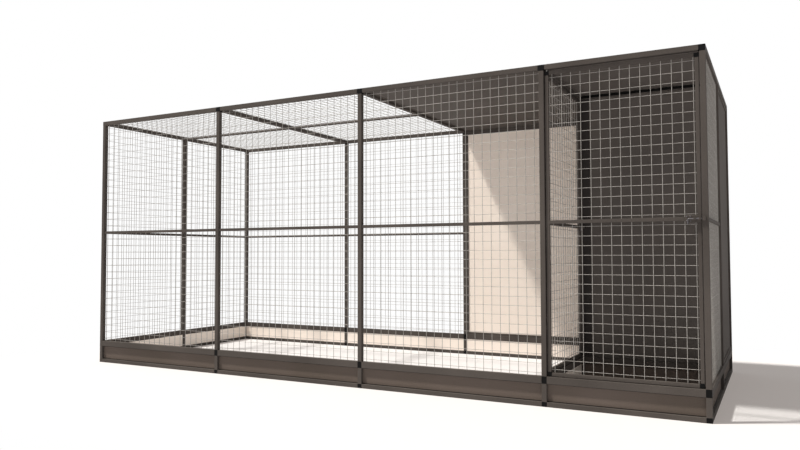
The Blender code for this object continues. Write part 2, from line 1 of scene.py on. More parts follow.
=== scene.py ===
"""Looks of a walk-in outdoor aviary: its finishes, rounded tube frame, welded mesh, panels, doors and studio.

Everything is placed from the fixed frame, in metres. The front looks along -Y and +Z is up.
"""

import json
import logging
import math
from dataclasses import dataclass, field
from enum import Enum
from typing import Any, Iterable, Mapping, NamedTuple, Sequence

import bmesh
import bpy
from mathutils import Matrix, Vector

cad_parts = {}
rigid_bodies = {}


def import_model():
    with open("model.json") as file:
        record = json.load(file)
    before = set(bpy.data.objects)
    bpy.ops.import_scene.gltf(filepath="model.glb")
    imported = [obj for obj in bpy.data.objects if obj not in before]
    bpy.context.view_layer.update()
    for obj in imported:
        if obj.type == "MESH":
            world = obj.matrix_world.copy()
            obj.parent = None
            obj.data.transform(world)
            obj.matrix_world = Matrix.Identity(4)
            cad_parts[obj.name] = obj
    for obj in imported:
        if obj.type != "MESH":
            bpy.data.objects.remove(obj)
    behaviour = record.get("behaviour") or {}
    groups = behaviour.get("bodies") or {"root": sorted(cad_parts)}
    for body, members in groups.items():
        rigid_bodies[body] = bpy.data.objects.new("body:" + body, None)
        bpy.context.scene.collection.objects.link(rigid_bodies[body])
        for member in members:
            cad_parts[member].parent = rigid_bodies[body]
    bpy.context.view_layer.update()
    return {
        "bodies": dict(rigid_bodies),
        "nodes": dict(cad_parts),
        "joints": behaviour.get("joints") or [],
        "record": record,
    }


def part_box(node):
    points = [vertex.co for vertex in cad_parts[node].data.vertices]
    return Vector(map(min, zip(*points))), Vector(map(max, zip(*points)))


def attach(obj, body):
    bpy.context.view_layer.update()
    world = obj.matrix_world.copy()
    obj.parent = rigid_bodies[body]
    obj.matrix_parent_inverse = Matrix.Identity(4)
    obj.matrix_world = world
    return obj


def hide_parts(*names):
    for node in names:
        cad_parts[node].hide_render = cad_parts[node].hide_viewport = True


LOG = logging.getLogger("aviary")
MM = 0.001
SMOOTH_ANGLE = math.radians(35)
QUARTER_TURN = math.pi / 2
MIX_A = 6
MIX_B = 7
MIX_RESULT = 2
RANDOM_FLOAT = 1
WHITE = "#FFFFFF"
OUTWARD = Vector((0, -1, 0))
INWARD = Vector((0, 1, 0))


class Body(Enum):
    """Bodies of the frame that pieces ride on."""

    FRAME = "frame"
    FRONT_DOOR = "front_door"
    FRONT_BOLT = "front_bolt"
    INNER_DOOR = "inner_door"
    INNER_BOLT = "inner_bolt"


class Axis(Enum):
    """World axes by their place in a vector."""

    X = 0
    Y = 1
    Z = 2


class Finish(Enum):
    """Finishes of the aviary, each a label and the record's material slot."""

    TUBE_COAT = ("tube_powder_coat", "powder_coat")
    PANEL_COAT = ("panel_powder_coat", "dark_panel")
    # The dark panel coat in a lighter copy for the base skins: the panel's own colour with painted light on
    # it.
    BASE_COAT = ("base_powder_coat", "dark_panel")
    THIN_PANEL_COAT = ("thin_panel_coat", "dark_panel")
    CREAM_SKIN = ("cream_skin", "cream_panel")
    WIRE = ("galvanised_wire", "galvanised_wire")
    NYLON = ("black_nylon", "black_plastic")
    # Black rubber: the base seals, and painted shade along the porch's top rail.
    SEAL = ("rubber_seal", "black_plastic")
    # A dark band by the porch's partition post that is painted shade.
    STRIP = ("weather_strip", "black_plastic")
    ZINC = ("zinc_plate", "zinc_plate")
    BLACK_ZINC = ("black_zinc", "zinc_plate")

    @property
    def label(self) -> str:
        """The finish's own name."""
        return self.value[0]

    @property
    def slot(self) -> str:
        """The record's material slot."""
        return self.value[1]


class Block(NamedTuple):
    """A box between its lowest and highest corners."""

    low: Vector
    high: Vector

    @property
    def middle(self) -> Vector:
        """The centre of the box."""
        return (self.low + self.high) / 2

    @property
    def span(self) -> Vector:
        """The size of the box along each axis."""
        return self.high - self.low


@dataclass(frozen=True)
class Rounding:
    """How far the rounding of an edge reaches, and in how many steps."""

    radius: float
    steps: int = 2


def block(low: Sequence[float], high: Sequence[float]) -> Block:
    """Make a block from two corners given as plain numbers."""
    return Block(Vector(low), Vector(high))


def cad_block(node: str) -> Block:
    """The box of a node of the fixed frame."""
    low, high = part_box(node)
    return Block(low, high)


def placed(place: Sequence[float], turn: float, axis: str = "Z") -> Matrix:
    """The matrix of a turn about one axis and then a move."""
    return Matrix.Translation(place) @ Matrix.Rotation(turn, 4, axis)


def linear(hex_colour: str) -> tuple[float, float, float, float]:
    """Turn an sRGB hex colour into a linear one.

    Args:
        hex_colour: the colour as "#RRGGBB".

    Returns:
        The linear red, green and blue, and a full alpha.
    """
    channels = []
    for start in (1, 3, 5):
        value = int(hex_colour[start:start + 2], 16) / 255
        channels.append(value / 12.92 if value <= 0.04045 else ((value + 0.055) / 1.055) ** 2.4)
    return (*channels, 1.0)


def add_node(tree: bpy.types.NodeTree, kind: str, inputs: Mapping[Any, Any] | None = None,
             **settings: Any) -> bpy.types.Node:
    """Add a node with its settings, and set or link its inputs.

    Args:
        tree: the node tree.
        kind: the node's type name.
        inputs: a value, or a socket to link, by the input's name or index.
        settings: the node's own properties.

    Returns:
        The new node.
    """
    node = tree.nodes.new(kind)
    for name, value in settings.items():
        setattr(node, name, value)
    for key, value in (inputs or {}).items():
        if isinstance(value, bpy.types.NodeSocket):
            tree.links.new(value, node.inputs[key])
        else:
            node.inputs[key].default_value = value
    return node


def empty_material(name: str) -> bpy.types.Material:
    """Start a material with an empty node tree.

    Args:
        name: the material's name.

    Returns:
        The material.
    """
    material = bpy.data.materials.new(name)
    material.use_nodes = True
    material.node_tree.nodes.clear()
    return material


@dataclass(frozen=True)
class PowderCoat:
    """Fine-texture polyester powder coat on extruded aluminium or sheet.

    It is matt, with a sandy grain that breaks up the highlight, and its tone drifts a little along a length.
    The real grain is about 0.2 mm, and it is drawn coarser so that it shows.
    """

    light: str
    dark: str
    roughness: float = 0.70
    roughness_spread: float = 0.08
    grain: float = 2.0 * MM
    grain_detail: float = 3.0
    drift: float = 0.40
    tone_low: float = 0.7
    tone_high: float = 1.3
    bump: float = 0.12 * MM
    bump_strength: float = 0.6
    specular: float = 0.06
    ior: float = 1.48

    def build(self, name: str) -> bpy.types.Material:
        """Build the material.

        Args:
            name: the material's name.

        Returns:
            The material.
        """
        material = empty_material(name)
        tree = material.node_tree
        place = add_node(tree, "ShaderNodeTexCoord").outputs["Object"]
        grain = add_node(tree, "ShaderNodeTexNoise", {"Vector": place, "Scale": 1 / self.grain,
                                                      "Detail": self.grain_detail}).outputs["Fac"]
        drift = add_node(tree, "ShaderNodeTexNoise", {"Vector": place, "Scale": 1 / self.drift})
        both = add_node(tree, "ShaderNodeMath", {0: grain, 1: drift.outputs["Fac"]}, operation="ADD")
        tone = add_node(tree, "ShaderNodeMapRange", {"Value": both.outputs[0], "From Min": self.tone_low,
                                                     "From Max": self.tone_high})
        colour = add_node(tree, "ShaderNodeMix", {0: tone.outputs[0], MIX_A: linear(self.dark),
                                                  MIX_B: linear(self.light)}, data_type="RGBA")
        gloss = add_node(tree, "ShaderNodeMapRange", {"Value": grain,
                                                      "To Min": self.roughness - self.roughness_spread,
                                                      "To Max": self.roughness + self.roughness_spread})
        bump = add_node(tree, "ShaderNodeBump", {"Height": grain, "Strength": self.bump_strength,
                                                 "Distance": self.bump})
        coat = add_node(tree, "ShaderNodeBsdfPrincipled", {"Base Color": colour.outputs[MIX_RESULT],
                                                           "Roughness": gloss.outputs[0],
                                                           "Normal": bump.outputs[0], "IOR": self.ior,
                                                           "Specular IOR Level": self.specular})
        add_node(tree, "ShaderNodeOutputMaterial", {"Surface": coat.outputs[0]})
        return material


@dataclass(frozen=True)
class CoilCoat:
    """Coil-coated sheet on a foam core: a smooth pale skin with faint roller ripple and soft unevenness."""

    light: str
    dark: str
    roughness: float = 0.48
    roughness_spread: float = 0.05
    ripple: float = 14 * MM
    drift: float = 0.35
    drift_detail: float = 4.0
    bump: float = 0.08 * MM
    bump_strength: float = 0.4
    ior: float = 1.5

    def build(self, name: str) -> bpy.types.Material:
        """Build the material.

        Args:
            name: the material's name.

        Returns:
            The material.
        """
        material = empty_material(name)
        tree = material.node_tree
        place = add_node(tree, "ShaderNodeTexCoord").outputs["Object"]
        drift = add_node(tree, "ShaderNodeTexNoise", {"Vector": place, "Scale": 1 / self.drift,
                                                      "Detail": self.drift_detail}).outputs["Fac"]
        ripple = add_node(tree, "ShaderNodeTexNoise", {"Vector": place, "Scale": 1 / self.ripple})
        colour = add_node(tree, "ShaderNodeMix", {0: drift, MIX_A: linear(self.dark),
                                                  MIX_B: linear(self.light)}, data_type="RGBA")
        gloss = add_node(tree, "ShaderNodeMapRange", {"Value": drift,
                                                      "To Min": self.roughness - self.roughness_spread,
                                                      "To Max": self.roughness + self.roughness_spread})
        bump = add_node(tree, "ShaderNodeBump", {"Height": ripple.outputs["Fac"],
                                                 "Strength": self.bump_strength, "Distance": self.bump})
        coat = add_node(tree, "ShaderNodeBsdfPrincipled", {"Base Color": colour.outputs[MIX_RESULT],
                                                           "Roughness": gloss.outputs[0],
                                                           "Normal": bump.outputs[0], "IOR": self.ior})
        add_node(tree, "ShaderNodeOutputMaterial", {"Surface": coat.outputs[0]})
        return material


@dataclass(frozen=True)
class HotDipZinc:
    """Galvanised steel: zinc crystals a few millimetres wide in slightly different greys, dulled outdoors."""

    light: str
    dark: str
    roughness: float = 0.50
    roughness_spread: float = 0.08
    metallic: float = 0.45
    crystal: float = 5 * MM
    streak: float = 60 * MM

    def build(self, name: str) -> bpy.types.Material:
        """Build the material.

        Args:
            name: the material's name.

        Returns:
            The material.
        """
        material = empty_material(name)
        tree = material.node_tree
        place = add_node(tree, "ShaderNodeTexCoord").outputs["Object"]
        crystal = add_node(tree, "ShaderNodeTexVoronoi", {"Vector": place, "Scale": 1 / self.crystal})
        shade = add_node(tree, "ShaderNodeSeparateColor", {"Color": crystal.outputs["Color"]}).outputs[0]
        streak = add_node(tree, "ShaderNodeTexNoise", {"Vector": place, "Scale": 1 / self.streak})
        both = add_node(tree, "ShaderNodeMath", {0: shade, 1: streak.outputs["Fac"]}, operation="MULTIPLY")
        colour = add_node(tree, "ShaderNodeMix", {0: both.outputs[0], MIX_A: linear(self.dark),
                                                  MIX_B: linear(self.light)}, data_type="RGBA")
        gloss = add_node(tree, "ShaderNodeMapRange", {"Value": shade,
                                                      "To Min": self.roughness - self.roughness_spread,
                                                      "To Max": self.roughness + self.roughness_spread})
        zinc = add_node(tree, "ShaderNodeBsdfPrincipled", {"Base Color": colour.outputs[MIX_RESULT],
                                                           "Metallic": self.metallic,
                                                           "Roughness": gloss.outputs[0]})
        add_node(tree, "ShaderNodeOutputMaterial", {"Surface": zinc.outputs[0]})
        return material


@dataclass(frozen=True)
class Moulded:
    """Moulded black nylon or rubber: a spark-eroded tool leaves a fine even texture and a soft sheen.

    The real texture is about 0.1 mm, and it is drawn coarser so that it shows.
    """

    colour: str
    roughness: float
    roughness_spread: float = 0.07
    texture: float = 0.8 * MM
    bump: float = 0.06 * MM
    bump_strength: float = 0.5
    specular: float = 0.1
    ior: float = 1.53

    def build(self, name: str) -> bpy.types.Material:
        """Build the material.

        Args:
            name: the material's name.

        Returns:
            The material.
        """
        material = empty_material(name)
        tree = material.node_tree
        place = add_node(tree, "ShaderNodeTexCoord").outputs["Object"]
        noise = add_node(tree, "ShaderNodeTexNoise", {"Vector": place, "Scale": 1 / self.texture})
        texture = noise.outputs["Fac"]
        gloss = add_node(tree, "ShaderNodeMapRange", {"Value": texture,
                                                      "To Min": self.roughness - self.roughness_spread,
                                                      "To Max": self.roughness + self.roughness_spread})
        bump = add_node(tree, "ShaderNodeBump", {"Height": texture, "Strength": self.bump_strength,
                                                 "Distance": self.bump})
        skin = add_node(tree, "ShaderNodeBsdfPrincipled", {"Base Color": linear(self.colour),
                                                           "Roughness": gloss.outputs[0],
                                                           "Normal": bump.outputs[0], "IOR": self.ior,
                                                           "Specular IOR Level": self.specular})
        add_node(tree, "ShaderNodeOutputMaterial", {"Surface": skin.outputs[0]})
        return material


FINISHES = {
    Finish.TUBE_COAT: PowderCoat("#59534E", "#47423E"),
    Finish.PANEL_COAT: PowderCoat("#554E49", "#46403B", drift=0.7),
    # 6B6059 and #595048 are the panel coat painted lighter on the base skins: painted light.
    Finish.BASE_COAT: PowderCoat("#6B6059", "#595048", drift=0.7),
    Finish.THIN_PANEL_COAT: PowderCoat("#615B56", "#524D49", drift=0.7),
    Finish.CREAM_SKIN: CoilCoat("#FFF4E8", "#F8EADB"),
    Finish.WIRE: HotDipZinc("#B4AFA9", "#938F89", metallic=0.15),
    Finish.NYLON: Moulded("#0A0909", 0.50),
    # 100F0E: black rubber of the base seals, and painted shade along the porch's top rail.
    Finish.SEAL: Moulded("#100F0E", 0.70),
    # 363230 is painted shade, for the shade in the porch corner by the partition.
    Finish.STRIP: Moulded("#363230", 0.70),
    Finish.ZINC: HotDipZinc("#D5D2CC", "#B4B0A9", roughness=0.34, metallic=0.85, crystal=1.5 * MM),
    Finish.BLACK_ZINC: HotDipZinc("#625E60", "#4F4C4E", roughness=0.46, metallic=0.6, crystal=1.5 * MM),
}


@dataclass(frozen=True)
class Plan:
    """Lines and heights of the aviary, read from its solids, and the sizes that its classes share."""

    posts: tuple[float, ...]
    front: float
    middle: float
    rear: float
    height: float
    base_height: float
    profile: float
    slim: float = 20 * MM
    seam: float = 0.5 * MM

    @classmethod
    def read(cls) -> "Plan":
        """Read the plan from the fixed frame.

        Returns:
            The plan.
        """
        on_lines = ("left_middle_post", "cross_rail_1", "cross_rail_2", "partition_middle_post",
                    "right_middle_post")
        corner = cad_block("left_middle_post")
        front_rail = cad_block("front_top_rail_1")
        rear_rail = cad_block("rear_top_rail_1")
        return cls(posts=tuple(cad_block(node).middle.x for node in on_lines), front=front_rail.middle.y,
                   middle=corner.middle.y, rear=rear_rail.middle.y, height=front_rail.high.z,
                   base_height=cad_block("porch_rear_base").high.z, profile=corner.span.x)

    @property
    def half(self) -> float:
        """Half a tube's width."""
        return self.profile / 2

    @property
    def porch(self) -> tuple[float, float]:
        """The bay lines at the porch's two sides."""
        return self.posts[-2], self.posts[-1]

    @property
    def rail_underside(self) -> float:
        """The height under the top rails."""
        return self.height - self.profile


def to_mesh(name: str, bm: bmesh.types.BMesh) -> bpy.types.Mesh:
    """Turn a bmesh into a mesh and free it.

    Args:
        name: the mesh's name.
        bm: the bmesh.

    Returns:
        The mesh.
    """
    mesh = bpy.data.meshes.new(name)
    bm.to_mesh(mesh)
    bm.free()
    return mesh


def box_mesh(name: str, boxes: Iterable[Block]) -> bpy.types.Mesh:
    """A mesh of separate boxes.

    Args:
        name: the mesh's name.
        boxes: the boxes' corners.

    Returns:
        The mesh.
    """
    bm = bmesh.new()
    for box in boxes:
        for vert in bmesh.ops.create_cube(bm, size=1)["verts"]:
            vert.co = Vector(c * s + m for c, s, m in zip(vert.co, box.span, box.middle))
    return to_mesh(name, bm)


def prism(name: str, outline: Sequence[tuple[float, float]], near: float, far: float) -> bpy.types.Mesh:
    """Stretch an outline in XZ along Y.

    Args:
        name: the mesh's name.
        outline: the outline's corners, seen from -Y, anticlockwise.
        near: the Y of the face that looks along -Y.
        far: the Y of the face that looks along +Y.

    Returns:
        The mesh, with its faces pointing out.
    """
    bm = bmesh.new()
    front = [bm.verts.new((x, near, z)) for x, z in outline]
    back = [bm.verts.new((x, far, z)) for x, z in outline]
    bm.faces.new(front)
    bm.faces.new(reversed(back))
    for index, corner in enumerate(front):
        after = (index + 1) % len(front)
        bm.faces.new((front[after], corner, back[index], back[after]))
    return to_mesh(name, bm)


def lathe(name: str, profile: Sequence[tuple[float, float]], sides: int) -> bpy.types.Mesh:
    """Turn a profile about Z and close its ends.

    Args:
        name: the mesh's name.
        profile: radius and height of each ring, from the bottom up.
        sides: how many sides each ring has.

    Returns:
        The mesh, with its faces pointing out.
    """
    bm = bmesh.new()
    rings = []
    turns = [2 * math.pi * side / sides for side in range(sides)]
    for radius, height in profile:
        rings.append([bm.verts.new((radius * math.cos(turn), radius * math.sin(turn), height))
                      for turn in turns])
    for lower, upper in zip(rings, rings[1:]):
        for side in range(sides):
            after = (side + 1) % sides
            bm.faces.new((lower[side], lower[after], upper[after], upper[side]))
    bm.faces.new(reversed(rings[0]))
    bm.faces.new(rings[-1])
    mesh = to_mesh(name, bm)
    mesh.shade_smooth()
    mesh.set_sharp_from_angle(angle=SMOOTH_ANGLE)
    return mesh


@dataclass(frozen=True)
class SquareTube:
    """Extruded square tube with rounded corners, open at both ends."""

    wall: float = 1.5 * MM
    corner: float = 2.0 * MM
    inner_corner: float = 0.5 * MM
    corner_steps: int = 4

    def ring(self, half_across: float, half_up: float, radius: float) -> list[tuple[float, float]]:
        """Points round the tube's section.

        Args:
            half_across: half the section's width.
            half_up: half the section's height.
            radius: the corner radius.

        Returns:
            The points, with corner_steps + 1 of them at each corner.
        """
        points = []
        for corner, (side, top) in enumerate(((1, 1), (-1, 1), (-1, -1), (1, -1))):
            for step in range(self.corner_steps + 1):
                angle = QUARTER_TURN * (corner + step / self.corner_steps)
                points.append((side * (half_across - radius) + radius * math.cos(angle),
                               top * (half_up - radius) + radius * math.sin(angle)))
        return points

    def mesh(self, name: str, box: Block, axis: Axis) -> bpy.types.Mesh:
        """Make the tube that fills a box.

        Args:
            name: the mesh's name.
            box: the tube's outer corners.
            axis: the axis that the tube runs along.

        Returns:
            The mesh. The edges between flats and rounded corners are sharp, so that the flats shade flat.
        """
        across, up = [index for index in range(3) if index != axis.value]
        half = box.span / 2
        outline = self.ring(half[across], half[up], self.corner)
        bore = self.ring(half[across] - self.wall, half[up] - self.wall, self.inner_corner)
        bm = bmesh.new()
        rings = []
        for points, end in ((outline, -1), (outline, 1), (bore, 1), (bore, -1)):
            rings.append([])
            for first, second in points:
                place = Vector(box.middle)
                place[axis.value] += end * half[axis.value]
                place[across] += first
                place[up] += second
                rings[-1].append(bm.verts.new(place))
        count = len(outline)
        for ring, following in zip(rings, rings[1:] + rings[:1]):
            for index in range(count):
                after = (index + 1) % count
                bm.faces.new((ring[index], ring[after], following[after], following[index])).smooth = True
        bmesh.ops.recalc_face_normals(bm, faces=bm.faces)
        for ring, following in (rings[:2], rings[2:]):
            for start in range(0, count, self.corner_steps + 1):
                for index in (start, start + self.corner_steps):
                    bm.edges.get((ring[index], following[index])).smooth = False
        for ring in rings:
            for index in range(count):
                bm.edges.get((ring[index], ring[(index + 1) % count])).smooth = False
        return to_mesh(name, bm)


POST_TUBE = SquareTube()
SLIM_TUBE = SquareTube(wall=1.2 * MM, corner=1.4 * MM, inner_corner=0.4 * MM, corner_steps=3)


def new_object(name: str, data: bpy.types.ID) -> bpy.types.Object:
    """Make an object of the scene, which isn't a piece until the workbench says so.

    Args:
        name: the object's name.
        data: its mesh, curve, camera or lamp.

    Returns:
        The object.
    """
    thing = bpy.data.objects.new(name, data)
    bpy.context.scene.collection.objects.link(thing)
    return thing


def bake(thing: bpy.types.Object) -> bpy.types.Mesh:
    """Turn an object with its modifiers into a plain mesh, and remove the object.

    Args:
        thing: the object.

    Returns:
        The mesh.
    """
    graph = bpy.context.evaluated_depsgraph_get()
    mesh = bpy.data.meshes.new_from_object(thing.evaluated_get(graph))
    bpy.data.objects.remove(thing)
    return mesh


def soften(name: str, mesh: bpy.types.Mesh, rounding: Rounding) -> bpy.types.Mesh:
    """Round a mesh's sharp edges and keep its flats shaded flat.

    Args:
        name: the name for the work.
        mesh: the mesh.
        rounding: the rounding of each edge.

    Returns:
        The rounded mesh.
    """
    thing = new_object(name, mesh)
    bevel = thing.modifiers.new("rounding", "BEVEL")
    bevel.width = rounding.radius
    bevel.segments = rounding.steps
    bevel.limit_method = "ANGLE"
    bevel.angle_limit = SMOOTH_ANGLE
    bevel.harden_normals = True
    mesh.shade_smooth()
    return bake(thing)


def cut(mesh: bpy.types.Mesh, cutter: bpy.types.Mesh) -> bpy.types.Mesh:
    """Cut one mesh with another.

    Args:
        mesh: the mesh to cut.
        cutter: the mesh to take away.

    Returns:
        The cut mesh.
    """
    thing = new_object(mesh.name, mesh)
    modifier = thing.modifiers.new("cut", "BOOLEAN")
    modifier.object = new_object(cutter.name, cutter)
    modifier.operation = "DIFFERENCE"
    modifier.solver = "EXACT"
    tool = modifier.object
    result = bake(thing)
    bpy.data.objects.remove(tool)
    return result


@dataclass
class Workbench:
    """Makes pieces, gives each its finish and hangs it on its body."""

    materials: dict[Finish, bpy.types.Material] = field(default_factory=dict)
    made: int = 0

    def __post_init__(self) -> None:
        """Build every finish once."""
        self.materials.update((finish, coat.build(finish.label)) for finish, coat in FINISHES.items())

    def piece(self, name: str, mesh: bpy.types.Mesh, finish: Finish, body: Body = Body.FRAME,
              replaced: Sequence[str] = (), matrix: Matrix | None = None,
              rounding: Rounding | None = None) -> None:
        """Make a finished piece of the aviary, with its object at the origin and its place in its mesh.

        Args:
            name: the piece's name.
            mesh: its mesh.
            finish: its finish.
            body: the body that it rides on.
            replaced: the nodes of the fixed frame that it stands for.
            matrix: where the mesh goes, if it was made in a frame of its own.
            rounding: the rounding of its edges, if they aren't rounded yet.
        """
        if rounding is not None:
            mesh = soften(name, mesh, rounding)
        if matrix is not None:
            mesh.transform(matrix)
        mesh.materials.clear()
        mesh.materials.append(self.materials[finish])
        piece = new_object(name, mesh)
        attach(piece, body.value)
        if replaced:
            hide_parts(*replaced)
        self.made += 1
        LOG.info("%s: %s on %s", name, finish.label, body.value)


def new_tree(name: str, inputs: Mapping[str, str],
             result: str) -> tuple[bpy.types.NodeTree, dict[str, bpy.types.NodeSocket]]:
    """Start a geometry tree.

    Args:
        name: the tree's name.
        inputs: the kind of each input by its name.
        result: the name of its geometry output.

    Returns:
        The tree, and the sockets that give its inputs by their names.
    """
    tree = bpy.data.node_groups.new(name, "GeometryNodeTree")
    for label, kind in inputs.items():
        tree.interface.new_socket(label, in_out="INPUT", socket_type=f"NodeSocket{kind}")
    tree.interface.new_socket(result, in_out="OUTPUT", socket_type="NodeSocketGeometry")
    return tree, {socket.name: socket for socket in add_node(tree, "NodeGroupInput").outputs}


def end_tree(tree: bpy.types.NodeTree, copies: bpy.types.NodeSocket, finish: bpy.types.NodeSocket,
             result: str) -> None:
    """Make a tree's copies real, coat them and give them out.

    Args:
        tree: the tree.
        copies: the socket of the copies.
        finish: the socket of their material.
        result: the name of the tree's output.
    """
    real = add_node(tree, "GeometryNodeRealizeInstances", {"Geometry": copies})
    coated = add_node(tree, "GeometryNodeSetMaterial", {"Geometry": real.outputs[0], "Material": finish})
    add_node(tree, "NodeGroupOutput", {result: coated.outputs[0]})


def set_inputs(thing: bpy.types.Object, tree: bpy.types.NodeTree, values: Mapping[str, Any]) -> None:
    """Put a node tree on an object and set its named inputs by their identifiers.

    Args:
        thing: the object.
        tree: the tree.
        values: the value of each input by its name.
    """
    modifier = thing.modifiers.new(tree.name, "NODES")
    modifier.node_group = tree
    for item in tree.interface.items_tree:
        if item.in_out == "INPUT" and item.name in values:
            modifier[item.identifier] = values[item.name]


@dataclass
class Fasteners:
    """Dome-head screws, gathered while the pieces are made and set on their surfaces at the end."""

    bench: Workbench
    head_radius: float = 4.0 * MM
    head_height: float = 2.2 * MM
    dome_shares: tuple[tuple[float, float], ...] = ((0.96, 0.0), (1.0, 0.25), (0.85, 0.65), (0.55, 0.95))
    recess_radius: float = 1.7 * MM
    recess_depth: float = 1.2 * MM
    sides: int = 12
    seed: int = 7
    places: dict[Body, list[tuple[Vector, Vector]]] = field(default_factory=dict)

    def add(self, place: Vector, facing: Vector, body: Body = Body.FRAME) -> None:
        """Note a screw by the point under its head, the direction that it looks and its body."""
        self.places.setdefault(body, []).append((place, facing))

    def head(self) -> bpy.types.Object:
        """Make the head that every screw copies: a dome with a recess, turned about Z.

        Returns:
            The head.
        """
        floor = self.head_height - self.recess_depth
        profile = [(self.head_radius * across, self.head_height * up) for across, up in self.dome_shares]
        profile += [(self.recess_radius, self.head_height), (self.recess_radius, floor)]
        return new_object("screw_head", lathe("screw_head", profile, self.sides))

    def tree(self) -> bpy.types.NodeTree:
        """Build the tree that sets a head on each point, square to its surface and turned at random.

        Returns:
            The tree.
        """
        tree, given = new_tree("set_screws", {"Points": "Geometry", "Head": "Object", "Finish": "Material",
                                              "Seed": "Int"}, "Screws")
        head = add_node(tree, "GeometryNodeObjectInfo", {"Object": given["Head"]})
        facing = add_node(tree, "GeometryNodeInputNamedAttribute", {"Name": "facing"},
                          data_type="FLOAT_VECTOR")
        square = add_node(tree, "FunctionNodeAlignRotationToVector", {"Vector": facing.outputs["Attribute"]},
                          axis="Z")
        spin = add_node(tree, "FunctionNodeRandomValue", {"Seed": given["Seed"]}, data_type="FLOAT")
        angle = add_node(tree, "ShaderNodeMath", {0: spin.outputs[RANDOM_FLOAT], 1: math.tau},
                         operation="MULTIPLY")
        about = add_node(tree, "ShaderNodeCombineXYZ", {"Z": angle.outputs[0]})
        turned = add_node(tree, "FunctionNodeRotateRotation", {"Rotation": square.outputs[0],
                                                               "Rotate By": about.outputs[0]},
                          rotation_space="LOCAL")
        heads = add_node(tree, "GeometryNodeInstanceOnPoints", {"Points": given["Points"],
                                                                "Instance": head.outputs["Geometry"],
                                                                "Rotation": turned.outputs[0]})
        end_tree(tree, heads.outputs[0], given["Finish"], "Screws")
        return tree

    def build(self) -> None:
        """Set all the screws, as one piece for each body."""
        tree = self.tree()
        head = self.head()
        for body, places in self.places.items():
            name = f"{body.value}_screws"
            points = bpy.data.meshes.new(name)
            points.from_pydata([place for place, _ in places], [], [])
            facing = points.attributes.new("facing", "FLOAT_VECTOR", "POINT")
            for datum, (_, direction) in zip(facing.data, places):
                datum.vector = direction
            thing = new_object(name, points)
            set_inputs(thing, tree, {"Head": head, "Finish": self.bench.materials[Finish.BLACK_ZINC],
                                     "Seed": self.seed})
            self.bench.piece(name, bake(thing), Finish.BLACK_ZINC, body)
        bpy.data.objects.remove(head)


